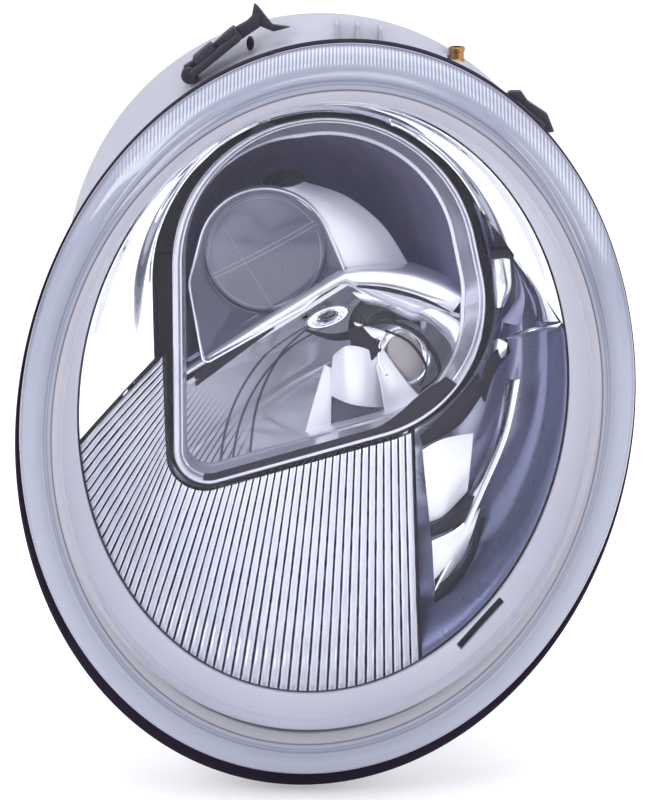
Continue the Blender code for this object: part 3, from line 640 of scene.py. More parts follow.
def disc_finish():
    """Smoked glass, paled towards its upper left by a painted highlight, with two faint mould lines and a
    fine ring.
    """
    material = finish("smoked_disc_glass", (0.16, 0.16, 0.22), (0.20, 0.20, 0.27), 0.12, 0, 24, coat=0.5)
    tree = material.node_tree
    shader = tree.nodes["Principled BSDF"]
    share, _, a, b = oval_share(tree, (DISC, 24.7, 24.7, 0.0))
    mould_lean = radians(28)
    slant = minus(tree, times(tree, a, sin(mould_lean)), times(tree, b, cos(mould_lean)))
    line = maths(tree, "ABSOLUTE", minus(tree, maths(tree, "ABSOLUTE", plus(tree, slant, 0.05)), 0.035))
    other = maths(tree, "ABSOLUTE", plus(tree, plus(tree, times(tree, a, 0.86), times(tree, b, 0.5)), 0.35))
    ring = maths(tree, "ABSOLUTE", minus(tree, share, 0.9))
    near = maths(
        tree, "MINIMUM", line, maths(tree, "MINIMUM", plus(tree, other, 0.004), plus(tree, ring, 0.002))
    )
    mark = ramp_of(tree, near, [(0.0, 1.0), (0.012, 0.0)])
    # Painted highlight across the dome, palest towards the upper left.
    painted_sheen = ramp_of(
        tree, plus(tree, times(tree, minus(tree, b, a), 0.35), 0.5),
        [
            (0.0, (0.085, 0.085, 0.14)), (0.5, (0.11, 0.11, 0.17)), (0.85, (0.20, 0.205, 0.28)),
            (1.0, (0.12, 0.125, 0.19))
        ]
    )
    marked = blend(tree, times(tree, mark, 0.5), painted_sheen, (0.46, 0.47, 0.58, 1))
    tree.links.new(marked, shader.inputs["Base Color"])
    return material


def glass_finish():
    """Thin bulb glass."""
    material = bpy.data.materials.new("bulb_glass")
    material.use_nodes = True
    tree = material.node_tree
    shader = tree.nodes["Principled BSDF"]
    shader.inputs["Base Color"].default_value = (0.93, 0.95, 0.97, 1)
    shader.inputs["Roughness"].default_value = 0.03
    edge = node(tree, "ShaderNodeLayerWeight")
    edge.inputs["Blend"].default_value = 0.4
    cloudy = placed(tree, CLOUDING, 60)
    alpha = plus(tree, times(tree, edge.outputs["Facing"], 0.6), times(tree, cloudy.outputs[0], 0.2))
    tree.links.new(alpha, shader.inputs["Alpha"])
    return material


def chamber_finish():
    """Plating with painted reflection bands, lavender at the top, and painted shade that turns it navy low
    down and along one long sweep.
    """
    material = finish("chamber_plating", (0.86, 0.88, 0.96), (0.74, 0.76, 0.88), 0.28, 0.55, 16)
    tree = material.node_tree
    shader = tree.nodes["Principled BSDF"]
    before = shader.inputs["Base Color"].links[0].from_socket
    share, parts, *_ = oval_share(tree, ((30, 10), 56, 96, radians(6)))
    drift = placed(tree, CLOUDING, 16)
    mixed = plus(tree, share, times(tree, drift.outputs[0], 0.10))
    # Painted reflection: pale and dark bands across the chamber.
    tint = ramp_of(
        tree, mixed,
        [
            (0.0, (0.8, 0.82, 0.9)), (0.60, (0.62, 0.64, 0.74)), (0.70, (0.20, 0.19, 0.30)),
            (0.80, (0.17, 0.17, 0.28)), (0.86, (0.46, 0.48, 0.60)), (0.92, (0.36, 0.38, 0.50)),
            (1.0, (0.22, 0.24, 0.36))
        ]
    )
    # Painted shade, darker towards the bottom.
    low = node(tree, "ShaderNodeMapRange", from_min=-0.015, from_max=-0.075)
    tree.links.new(plus(tree, parts.outputs["Z"], times(tree, drift.outputs[0], 0.02)), low.inputs["Value"])
    shaded = blend(tree, times(tree, low.outputs[0], 0.85), tint, (0.13, 0.145, 0.25, 1))
    tree.links.new(blend(tree, 1.0, before, shaded, "MULTIPLY"), shader.inputs["Base Color"])
    return material


def crease_shade_lines(material):
    """Thin dark lines of painted shade along the folds that sweep round the lower bowl from the parking port
    to the chin.
    """
    tree = material.node_tree
    shader = tree.nodes["Principled BSDF"]
    before = shader.inputs["Base Color"].links[0].from_socket
    mark = 0.0
    for centre, radius in (((15.4, -35.2), 58.5), ((28.8, -30.2), 59.8), ((17.0, -37.0), 55.6)):
        share, parts, *_ = oval_share(tree, (centre, radius, radius, 0.0))
        line = ramp_of(
            tree, maths(tree, "ABSOLUTE", minus(tree, share, 1.0)),
            [(0.0, 1.0), (0.007, 0.85), (0.012, 0.0)]
        )
        mark = maths(tree, "MAXIMUM", line, mark)
    # Painted shade between ribs, towards the bowl's lower left corner.
    rib_pitch, rib_lean = 0.0021, radians(50)
    across = minus(tree, times(tree, parts.outputs["X"], sin(rib_lean)),
                   times(tree, parts.outputs["Z"], cos(rib_lean)))
    rib = ramp_of(
        tree, maths(tree, "ABSOLUTE", maths(tree, "SINE", times(tree, across, pi / rib_pitch))),
        [(0.0, 1.0), (0.35, 0.7), (0.55, 0.0)]
    )
    corner = ramp_of(
        tree, plus(tree, plus(tree, parts.outputs["X"], parts.outputs["Z"]), 0.1),
        [(0.0, 1.0), (0.036, 1.0), (0.050, 0.0)]
    )
    mark = maths(tree, "MAXIMUM", mark, times(tree, rib, corner))
    left = node(tree, "ShaderNodeMapRange", from_min=0.002, from_max=-0.006)
    tree.links.new(parts.outputs["X"], left.inputs["Value"])
    share = times(tree, times(tree, mark, left.outputs[0]), 0.9)
    tree.links.new(blend(tree, share, before, (0.06, 0.05, 0.11, 1)), shader.inputs["Base Color"])


LENS_FINISH, DISC_FINISH, BULB_GLASS, CHAMBER = lens_finish(), disc_finish(), glass_finish(), chamber_finish()
CREASE_SHADED_BOWL = finish("bowl_plating_with_painted_crease_shade", (0.92, 0.93, 0.99), (0.80, 0.82, 0.93), 0.12, 0.5, 14)
crease_shade_lines(CREASE_SHADED_BOWL)
SHIELD_GREY = finish("shield_cap_grey", (0.40, 0.37, 0.38), (0.33, 0.31, 0.33), 0.45, 0.2, 24)


# ---- outer lens, gasket and bezel ----


def make_lens():
    outside = [
        (0, 2), (0, -3), (-0.6, -4.7), (-2, -6.6), (-4, -8.3), (-6, -9.5), (-8.6, -10.3), (-9.3, -10.6),
        (-9.9, -11.5), (-10.6, -12.6), (-11.6, -13.3), (-14, -14.1), (-16, -14.5)
    ]
    lens = oval_band(LENS_OVAL, outside, 320, joined=False, dome=(24, 26))
    thicken(lens, 2.4)
    fit(lens, "outer_lens", LENS_FINISH, "housing_body", "clear_lens", "lens", angle=40)


def make_gasket():
    section = [(0.7, 2.5), (0.96, 3.4), (1.0, 4.6), (1.0, 8), (0.93, 10), (0.75, 11.4), (0.45, 12)]
    rows = len(section) + 2

    def place(u, v):
        j = round(v * rows) % rows
        angle = 2 * pi * u
        lip = 0.3 + 6.7 * ((1 - sin(angle)) / 2) ** 2.4
        if j < len(section):
            spot = oval_at(LENS_OVAL, angle, lip * section[j][0])
            return spot.x, section[j][1], spot.y
        spot = oval_at(LENS_OVAL, angle, -4.6)
        return spot.x, 12 if j == len(section) else 2.5, spot.y
    fit(
        skin(320, rows, place, wrap=True), "lens_gasket_lip", RUBBER, "housing_body", "black_rubber",
        "lens_gasket"
    )


def make_bezel():
    front = [
        (0.3, 15), (0.5, 14.2), (1.1, 13.6), (8.4, 9.9), (8.9, 9.3), (9.3, 7.2), (9.6, 6.0), (10.1, 5.2),
        (11.4, 3.9), (12, 3.6)
    ]
    back = [(12.1, 5.6), (11.2, 6.6), (10.8, 8.6), (9.4, 11.6), (1.2, 16.6), (0.4, 17.2)]
    bezel = oval_band(RIM_OVAL, front + back, 320)
    slot = box((61.6, 12, -88.6), (26, 30, 2.8), 0.3, radians(-49))
    cut(bezel, slot)
    fit(bezel, "inner_bezel_ring", BEZEL_PLASTIC, "housing_body", "bezel_plastic", "inner_bezel", angle=28)
    # A dark sheet behind the slot: painted shade inside it.
    seat = box((61.6, 17.0, -88.6), (27, 1.0, 3.8), 0.2, radians(-49))
    fit(seat, "bezel_slot_seat", PAINTED_SHADE_AND_BLACK, "housing_body", "black_plastic")


# ---- panels between the pod and the bezel ----


def panel(at_pod, at_rim, depth_at, columns, rows, shrink=0.0, wall=1.4, rim_gap=0.5):
    opening = band_round(OPENING_CIRCLES, shrink)
    rim = [oval_at(RIM_OVAL, 2 * pi * i / 720, -rim_gap) for i in range(720)]
    inner, outer = walk(opening, *at_pod, columns + 1), walk(rim, *at_rim, columns + 1)

    def place(u, v):
        i = round(u * columns)
        spot = inner[i].lerp(outer[i], v)
        return spot.x, depth_at(u, v), spot.y
    piece = skin(columns, rows, place)
    thicken(piece, wall)
    return piece


def through(stops, v):
    """A value on the smooth line through (place, value) stops."""
    for (a, ya), (b, yb) in zip(stops, stops[1:]):
        if v <= b:
            s = (v - a) / (b - a)
            return ya + (yb - ya) * (3 * s * s - 2 * s ** 3)
    return stops[-1][1]


def groove_shade_lines(material, many):
    """Dark lines of painted shade along the grooves, which follow the screen's own map."""
    tree = material.node_tree
    shader = tree.nodes["Principled BSDF"]
    before = shader.inputs["Base Color"].links[0].from_socket
    chart = node(tree, "ShaderNodeUVMap")
    parts = node(tree, "ShaderNodeSeparateXYZ")
    tree.links.new(chart.outputs[0], parts.inputs[0])
    wave = maths(tree, "ABSOLUTE", maths(tree, "SINE", times(tree, parts.outputs["X"], pi * many)))
    breaks = node(tree, "ShaderNodeTexNoise", detail=2.0, scale=160)
    place = node(tree, "ShaderNodeTexCoord")
    tree.links.new(place.outputs["Object"], breaks.inputs["Vector"])
    uneven = plus(tree, wave, times(tree, breaks.outputs["Fac"], 0.34))
    line = ramp_of(
        tree, uneven,
        [
            (0.36, (0.01, 0.01, 0.03)), (0.52, (0.06, 0.06, 0.12)), (0.62, (0.85, 0.87, 0.95)),
            (0.70, (1.0, 1.0, 1.0)), (1.06, (1.0, 1.0, 1.0)), (1.14, (0.70, 0.72, 0.82))
        ]
    )
    tree.links.new(blend(tree, 1.0, before, line, "MULTIPLY"), shader.inputs["Base Color"])


def make_panels():
    def rolled_in(u, v):
        return through(
            [
                (0, 26), (0.02, 20), (0.035, 15.6), (0.06, 15.0), (0.1, 15.6), (0.4, 17.6), (0.75, 17.2),
                (1, 15.6)
            ],
            v
        )
    surround = panel(((62, 85), (-66, 21)), ((92, 33), (-97.2, -13.7)), rolled_in, 260, 40, 1.2, 1.2)
    fit(surround, "upper_bright_surround", CHROME, "housing_body", "bright_chrome", "chrome_bezel")

    flutes = 50

    def fluted(u, v):
        base = through([(0, 22), (0.25, 24), (0.5, 24), (0.75, 21.5), (1, 16)], v)
        fade = min(1, v / 0.015, (1 - v) / 0.012)
        ripple = 0.10 * sin(v * 46 + u * 90) * sin(v * 17 + u * 31)
        return base - fade * (1.15 * abs(sin(pi * flutes * u)) + ripple)
    groove_shade_lines(FLUTED, flutes)
    ribs = panel(
        ((-66.4, 18.6), (36.4, -17.2)), ((-97, -15.4), (42.2, -112.5)), fluted, flutes * 10, 60, 0.0, 1.2
    )
    fit(ribs, "fluted_signal_screen", FLUTED, "housing_body", "fluted_clear", "signal_lens", angle=60)

    def hollow(u, v):
        return through([(0, 30), (0.15, 40), (0.4, 49), (0.65, 47), (0.85, 36), (1, 26)], v)
    signal = panel(((-66.4, 17), (34.4, -17.4)), ((-97, -19), (39, -113)), hollow, 160, 30, 0.5, 2, 2.0)
    cut(signal, turned((SIGNAL[0], 0, SIGNAL[1]), [(20, 12.5), (80, 12.5)], 64))
    fit(signal, "signal_bowl", CHROME, "housing_body", "bright_chrome", "signal_reflector")

    def sculpted(u, v):
        base = through([(0, 28), (0.10, 33), (0.4, 37), (0.75, 30), (1, 17.2)], v)
        fold = 0.8 * (1 + sin(u * 4.0 + v * 2.4)) * min(1, v * 6, (1 - v) * 5)
        return min(base + fold, 38)
    side = panel(((37.4, -16.6), (62.5, 81)), ((43.4, -112), (92.6, 30.5)), sculpted, 160, 60, 0.6, 1.4)
    fit(side, "side_chamber", CHAMBER, "housing_body", "bright_chrome", "side_reflector", angle=24)


# Name, look, bulge, columns, then the two edges of each blade (x, y, z).
SIDE_PIECES = (
    ("chamber_ledge", CHROME, 1.0, 48,
     [(70.5, 27, 24.5), (80, 21, 29), (92.5, 16.6, 33.4)],
     [(66, 33, 20), (77, 31, 24), (90, 20, 29.5)]),
    ("chamber_tongue", SATIN_CHROME, 2.4, 48,
     [(64.6, 27, 60), (65.4, 24, 49), (66.2, 25, 38)],
     [(72.8, 26, 57), (73.0, 23, 47), (70.5, 25, 38.5)]),
    ("chamber_outer_fin", CHROME, 1.6, 48,
     [(63.5, 22, 82), (74.5, 18.5, 60), (84, 17.2, 46), (91.5, 16.6, 34)],
     [(67, 30, 78), (73, 29, 57), (79, 27, 43), (83, 24, 32.5)]),
    # The dark fin carries the painted dark reflection.
    ("chamber_dark_fin", DARK_REFLECTION_PLATING, 0.6, 48,
     [(66.5, 28, 76), (74, 26, 56), (78.5, 26, 42), (76.5, 28, 30)],
     [(68.8, 31, 70), (74.6, 29, 52), (75.4, 28, 42), (69.5, 30, 31)]),
    ("chamber_white_shelf", SATIN_CHROME, 1.0, 48,
     [(66.2, 27, 24.0), (68.4, 25, 25.2), (71.6, 24, 23.5)],
     [(66.6, 30, 13), (68.6, 28.5, 15), (71.2, 28, 17.5)]),
    # Dark strips of painted shade between the bright pieces.
    ("chamber_dark_wing", PAINTED_SHADE_AND_BLACK, 0.5, 48,
     [(60.5, 27, 4), (64.5, 25.5, 16), (71.5, 26, 25)],
     [(63.5, 30, -2), (67, 29, 10), (73.5, 29, 19)]),
    ("chamber_dark_wedge", PAINTED_SHADE_AND_BLACK, 0.4, 48,
     [(37.5, 25.5, -15.0), (50, 25.5, -2.5), (60.5, 25.5, 11.0)],
     [(38.5, 28, -19.5), (53, 28, -11), (63.0, 28, 3.0)]),
    ("chamber_long_fin", CHROME, 1.4, 64,
     [(76.9, 24, 9), (72.3, 24, -14), (63.4, 24, -36.5), (53.5, 24, -59), (43.6, 24, -78.5)],
     [(71.5, 30, 8), (67.6, 30, -13), (58.6, 30, -35.5), (49.8, 30, -56), (43.4, 30, -72)]),
    # The lobes carry the painted bright reflection.
    ("chamber_upper_lobe", BRIGHT_REFLECTION_WHITE, 2.4, 48,
     [(38.2, 26, -20.4), (47, 25, -15.5), (58.6, 26, -13.5)],
     [(41.4, 29, -51), (47.5, 27, -47.5), (56.5, 28, -38.0)]),
    # Painted shadow under the upper lobe.
    ("chamber_upper_lobe_shadow", PAINTED_SHADE_AND_BLACK, 0.5, 48,
     [(41.5, 26, -52), (49.0, 24.5, -48.0), (57.5, 26, -39.0)],
     [(42.0, 28, -57.0), (50.5, 27, -53.0), (61.5, 28, -42.5)]),
    ("chamber_lower_lobe", BRIGHT_REFLECTION_WHITE, 2.4, 48,
     [(42.3, 26, -58.0), (51.5, 25, -53.0), (61.5, 26, -44.4)],
     [(43.4, 29, -78.0), (48.6, 27, -73.5), (55.5, 28, -64.5)]),
    # Painted shadow under the lower lobe.
    ("chamber_lower_lobe_shadow", PAINTED_SHADE_AND_BLACK, 0.5, 48,
     [(43.5, 26, -79.0), (49.5, 24.5, -74.0), (56.5, 24.5, -64.5), (62.5, 26, -48.0)],
     [(43.8, 28, -84.5), (51.5, 27, -77.5), (59.0, 27, -66.0), (64.0, 28, -49.0)]),
)


def side_blades():
    """The bright fins, tongue, lobes and ledge in the side chamber, and the dark strips of painted shade
    between them.
    """
    for name, look, bulge, columns, edge_a, edge_b in SIDE_PIECES:
        dark = look is PAINTED_SHADE_AND_BLACK
        piece = blade(edge_a, edge_b, bulge, columns=columns)
        fit(
            piece, name, look, "housing_body", "black_plastic" if dark else "bright_chrome",
            angle=35 if dark else 30
        )
    block = plate([(64.6, 61.2), (72.6, 62.4), (72.8, 58.8), (64.8, 57.6)], 22.5, 6, 0.5)
    fit(block, "chamber_dark_block", PAINTED_SHADE_AND_BLACK, "housing_body", "black_plastic")


# ---- the pod ----


def crest_line(offset):
    left, top, right = Vector((-48, 13.5)), Vector((7.4, 49)), Vector((52, 36))
    up_left = Vector((-(top - left).y, (top - left).x)).normalized()
    up_right = Vector((-(right - top).y, (right - top).x)).normalized()
    middle = (up_left + up_right).normalized()
    return left + up_left * offset, top + middle * offset / middle.dot(up_left), right + up_right * offset


def run_out(loop, start, past):
    way = (past - start).normalized()
    ring = spaced([*loop, loop[0]], 600)
    return min(
        (past + way * t * 0.25 for t in range(-20, 80)), key=lambda s: min((p - s).length for p in ring)
    )


def bowl(outline, neck, front, steps, rings, power, neck_radius=15):
    """A bowl from its outline back to the round neck, with stepped rings in its wall."""
    count = len(outline)
    neck = Vector(neck)

    def place(u, v):
        spot = outline[round(u * count) % count]
        away = spot - neck
        keep = sqrt(max(1 - v ** 1.25, 0)) ** power
        at = neck + away.normalized() * (neck_radius + (away.length - neck_radius) * keep)
        depth = front + (94 - front) * v ** 1.25
        if steps:
            depth += 1.6 * abs(((1 - keep) * steps) % 1.0 - 0.5) * min(1, v * 8)
        return at.x, depth, at.y
    return skin(count, rings, place, wrap=True)


def make_pod():
    profile = [
        (1.2, 22.1), (1.9, 22.4), (2.2, 23.2), (2.0, 24.6), (0.4, 26), (0, 28), (0, 52), (-2, 52),
        (-2, 40.4), (-8.6, 38.8), (-9, 38.2), (-9, 36.6), (-8.7, 35.9), (-7.4, 35.2), (-7.0, 34.0),
        (-6.7, 33.4), (-2.6, 26.2), (-2.3, 25.3), (-2.1, 24.9), (-1.5, 24.6), (-1.2, 23.2), (-0.6, 22.3),
        (0.4, 22.0)
    ]
    fit(
        outline_band(POD_CIRCLES, profile, 420, narrow=ring_share), "pod_trim_ring", RING_PLATING,
        "pod_body", "bright_chrome", "pod_ring", angle=28
    )

    inside = band_round(POD_CIRCLES, -2.7)
    left, top, right = crest_line(4.2)
    edge = walk(inside, run_out(inside, top, right), run_out(inside, top, left), 200)
    edge += spaced([edge[-1], top], 60)[1:] + spaced([top, edge[0]], 50)[1:-1]
    upper = bowl(edge, HIGH_BEAM, 41.2, 7, 60, 1.1)
    thicken(upper, 1.6)
    # The high beam bowl carries the painted dark reflection.
    fit(upper, "high_beam_bowl", DARK_REFLECTION_PLATING, "pod_body", "bright_chrome", "upper_reflector", angle=20)

    left, top, right = crest_line(-5.2)
    edge = walk(inside, run_out(inside, top, left), run_out(inside, top, right), 200)
    edge += spaced([edge[-1], top], 50)[1:] + spaced([top, edge[0]], 60)[1:-1]
    lower = bowl(edge, LOW_BEAM, 41.2, 0, 60, 1.1)
    thicken(lower, 1.6)
    cut(lower, turned((PARKING[0], 0, PARKING[1]), [(60, 6.5), (100, 6.5)], 48))
    # The lower bowl carries the painted crease shade.
    fit(lower, "low_beam_bowl", CREASE_SHADED_BOWL, "pod_body", "bright_chrome", "lower_reflector", angle=30)


def make_crest():
    """A rolled bright edge between the bowls: narrow on the left, broad where it sweeps down on the right."""
    path = [
        (-57.0, 7.8), (-48.5, 13.4), (-30, 25.4), (-10, 38.2), (4, 47.4), (10, 50.2), (20, 50.6),
        (32, 49.0), (44, 44.8), (54, 38.6)
    ]
    fronts = [38.5, 37.5, 36, 34, 32.0, 31, 31.5, 32.5, 34, 37.5]
    widths = [2.2, 2.4, 2.6, 2.9, 4.0, 9, 15, 19, 20, 15]
    section = [
        (1.4, 24), (1.6, 8), (1.3, 2.2), (0.6, 0.4), (0.0, 0.0), (-0.28, 0.6), (-0.5, 2.2), (-0.8, 6.4),
        (-1.0, 13.0), (-0.96, 19)
    ]

    def place(u, v):
        spot = flow([(x, 0, z) for x, z in path], u)
        ahead = flow(
            [(x, 0, z) for x, z in path], min(u + 0.01, 1)
        ) - flow([(x, 0, z) for x, z in path], max(u - 0.01, 0))
        side = Vector((-ahead.z, 0, ahead.x)).normalized()
        wide, front = flow([(w, f, 0) for w, f in zip(widths, fronts)], u).xy
        over, back = flow([(o, b, 0) for o, b in section], v).xy
        reach = over * wide if over < 0 else over
        at = spot + side * reach
        return at.x, front + back * (0.55 + wide / 26 if over < 0 else 1), at.z
    piece = skin(160, 40, place)
    thicken(piece, 0.9)
    fit(piece, "bowl_crest", BOWL_CHROME, "pod_body", "bright_chrome", "crest", angle=40)
    # A dark sliver of painted shadow under the crest's narrow left run.
    sliver = blade(
        [(-53.0, 40.5, 8.0), (-47, 40.2, 11.6), (-21.5, 38.8, 27.4)],
        [(-52.6, 42.5, 1.6), (-46, 41.5, 6.8), (-21.0, 39.6, 26.2)], 0.2, 0.6
    )
    fit(sliver, "crest_shadow_strip", PAINTED_SHADE_AND_BLACK, "pod_body", "black_plastic")
    # A thin dark strip of painted shade along the crest's broad right run.
    streak = blade(
        [(12, 31.4, 45.6), (24, 31.0, 44.8), (38, 32.2, 40.6), (49, 33.8, 34.6)],
        [(12, 31.6, 44.6), (23, 30.8, 43.2), (37, 31.8, 39.4), (49, 33.9, 34.0)], 0.1, 0.4
    )
    fit(streak, "crest_groove", PAINTED_SHADE_AND_BLACK, "pod_body", "black_plastic")


def make_high_beam():
    shape = ((-24.4, 57.2, 25.8), (-41.2, 45.0, 12.6), (-47.6, 15.6, 1.4), (5.2, 50.6, 1.0))
    ring = outline_band(
        shape,
        [(1.5, 36.2), (1.5, 40.0), (-0.3, 40.0), (-0.3, 36.6), (0.0, 35.8), (0.5, 35.2), (1.0, 35.3)], 300
    )
    fit(ring, "high_beam_ring", SATIN_CHROME, "pod_body", "bright_chrome", "high_beam_bezel", angle=30)
    rings = matched(shape, [0], 240)[0]
    centre = Vector(DISC)

    def face(u, v):
        spot = rings[round(u * 240) % 240].lerp(centre, v)
        return spot.x, 39.5 + 5 * (1 - (1 - v) ** 2), spot.y
    shell = skin(240, 24, face, wrap=True)
    thicken(shell, 0.8)
    fit(shell, "high_beam_backing", SMOKED_GLASS_AND_SHADE, "pod_body", "smoked_glass", angle=40)
    disc = turned(
        (DISC[0], 36.4, DISC[1]),
        [
            (6.0, 23.6), (5.6, 24.2), (4.8, 24.4), (4.2, 24.1), (3.6, 22.8), (2.6, 19.5), (1.4, 14.6),
            (0.6, 9.4), (0.15, 4.7), (0.0, 0.6)
        ],
        128
    )
    fit(disc, "high_beam_disc", DISC_FINISH, "pod_body", "smoked_glass", "high_beam_lens", angle=50)
    hoop = turned(
        (DISC[0], 40.0, DISC[1]),
        [(2.4, 24.4), (2.4, 25.4), (1.2, 25.6), (0.4, 25.2), (0.2, 24.8), (0.5, 24.5)], 128, closed=False
    )
    thicken(hoop, 0.3)
    fit(hoop, "high_beam_disc_rim", SMOKED_GLASS_AND_SHADE, "pod_body", "smoked_glass")

    cowl = blade([(-18, 37.5, 83.6), (-4.2, 37, 72.9), (2.8, 37, 62.6), (7.6, 37, 51.6)],
                 [(-9, 47, 84.6), (8, 48, 78.5), (23, 50, 66.0), (33.5, 52, 49.0)], 3.2, 0.9, 72, 24)
    # The cowl carries the painted bright reflection.
    fit(cowl, "high_beam_cowl", BRIGHT_REFLECTION_WHITE, "pod_body", "bright_chrome", angle=40)


def make_low_beam():
    """The lower bowl's shield, legs, spring block, lines of painted shade and parking port, and the strip of
    painted shadow under the pod.
    """
    x, z = LOW_BEAM
    cup = turned(
        (x + 7, 44, z - 1),
        [
            (10, 13.0), (4, 13.1), (1, 12.6), (0.2, 12.0), (0, 11.4), (0.4, 10.8), (1.4, 10.2),
            (1.6, 9.6), (0.8, 9.0), (1.2, 8.4), (3.2, 8.0)
        ],
        96, closed=False, stretch=(0.86, 1.0), lean=radians(-18)
    )
    thicken(cup, 0.8)
    cap = turned(
        (x + 7.6, 43.2, z - 1.6), [(7, 7.4), (3.0, 8.3), (1.4, 7.8), (0.6, 6.2), (0.15, 3.6), (0, 0.5)],
        96, stretch=(0.9, 1.25), lean=radians(-14)
    )
    fit(cap, "shield_cap", SHIELD_GREY, "pod_body", "bright_chrome")
    cone = blade(
        [(2.5, 47, 13.5), (7.5, 41.5, 18.5), (14, 42.5, 18.0), (20.5, 46, 14.5)],
        [(0.6, 49, -3.0), (9, 43, -5.5), (17, 43, -6.8), (24, 50, -8.5)], 0.8, 0.9
    )
    left = blade(
        [(-1.0, 49, 9.4), (-6, 47, -8), (-11.4, 44.5, -28)],
        [(2.4, 48, 8.2), (2.0, 47, -10), (1.6, 44.5, -26)], 0.8, 0.9
    )
    right = blade(
        [(22.0, 43, 17), (31, 42, 5), (42, 44, -8.0)],
        [(20.5, 44, 10), (23.0, 43, -4), (25.0, 43.5, -20.5)], -1.6, 0.9
    )
    fit(cup, "shield_cup", CHROME, "pod_body", "bright_chrome", angle=30)
    # The shield carries the painted bright reflection.
    fit(
        join(cone, left, right), "low_beam_shield", BRIGHT_REFLECTION_WHITE, "pod_body", "bright_chrome",
        "low_beam_hood", angle=30
    )
    # The plated shield foot takes the dark smoked colour as painted shade under the shield.
    foot = blade(
        [(1.6, 50, -3.2), (11, 48, -4), (21.6, 49, -3.4)],
        [(1.4, 47, -17.8), (11, 46.5, -14.5), (22.0, 47, -11)], 0.4, 0.8
    )
    fit(foot, "shield_foot", SMOKED_GLASS_AND_SHADE, "pod_body", "bright_chrome")
    spring = plate(
        [(8.4, 24.4), (14.2, 26.2), (22.2, 16.4), (18.6, 12.2), (14.8, 10.8), (10.2, 17.2)], 44, 4, 0.5
    )
    fit(spring, "shield_spring_block", PAINTED_SHADE_AND_BLACK, "pod_body", "black_plastic")
    # Dark lines of painted shade round the shield cup.
    for name, place, wall in (
        (
            "cup_outer_line",
            [
                (15.4, 42.6, 27.6), (27.0, 42.2, 28.8), (37.0, 42.2, 24.6), (44.0, 42.4, 15.8),
                (45.8, 42.8, 7.6), (38.6, 43, 0.6)
            ],
            2.0
        ),
        (
            "cup_inner_line",
            [(24.0, 42.6, 25.2), (34.0, 42.4, 20.2), (40.4, 42.6, 10.4), (38.2, 43, 2.8)], 1.2
        )
    ):
        inside = [(px - wall * 0.7, depth + 0.4, pz - wall * 0.7) for px, depth, pz in place]
        fit(blade(place, inside, 0.2, 0.5, 64), name, PAINTED_SHADE_AND_BLACK, "pod_body", "black_plastic")
    sweep = blade(
        [(10, 38.6, 41.5), (33, 38.2, 39.2), (52, 38.8, 30.0), (58.2, 39.2, 21.5)],
        [(16, 42.5, 35.5), (35, 42.5, 31.2), (47.5, 42.5, 22.0), (51.5, 42.8, 12.0)], 1.6, 0.8, 64
    )
    fit(sweep, "bowl_right_sweep", SATIN_CHROME, "pod_body", "bright_chrome")
    tab = blade(
        [(11, 46, 27.6), (20, 44.6, 25.2), (28.8, 46, 22.6)],
        [(12.2, 47, 24.4), (18, 45.4, 20.4), (27.0, 47, 19.4)], 0.6, 0.8
    )
    fit(tab, "shield_tab", SATIN_CHROME, "pod_body", "bright_chrome")
    port = turned(
        (0.5, 46.4, 29.4),
        [
            (8, 3.4), (3.4, 3.6), (2.6, 4.4), (1.4, 4.6), (2.0, 5.6), (0.8, 6.0), (1.4, 7.0), (0.2, 7.6),
            (0.2, 8.4), (2.2, 9.2)
        ],
        96, closed=False, stretch=(1.0, 0.42), lean=radians(-20)
    )
    thicken(port, 0.6)
    fit(port, "parking_port", CHROME, "pod_body", "bright_chrome")
    # A dark sill of painted shade under the parking port.
    wedge = blade(
        [(-8.4, 48, 24.2), (4, 47.2, 22.4), (15.4, 48, 26.4)],
        [(-8.2, 48.6, 23.0), (3, 48.2, 19.4), (15.0, 48.6, 20.6)], 0.3, 0.7
    )
    fit(wedge, "parking_port_sill", PAINTED_SHADE_AND_BLACK, "pod_body", "black_plastic")
    # The strip under the pod's chin is painted shadow in the gap below it.
    ends = (-50, -36), (56, 4)
    low = walk(band_round(POD_CIRCLES, 0.1), *ends, 33)
    high = walk(band_round(POD_CIRCLES, -2.7), *ends, 33)
    upper_edge = []
    for p, q in zip(low, high):
        k = 1 + 1.6 * max(0, min((p.x - 22) / 18, 1)) * max(0, min((58 - p.x) / 12, 1))
        upper_edge.append((p.x + (q.x - p.x) * k, 21.8 + k * 0.9, p.y + (q.y - p.y) * k))
    chin = blade([(p.x, 21.7, p.y) for p in low], upper_edge, 0.1, 0.5, 160)
    fit(chin, "pod_chin_shadow_strip", PAINTED_SHADE_AND_BLACK, "pod_body", "black_plastic")


# ---- housing and what is fixed to it ----


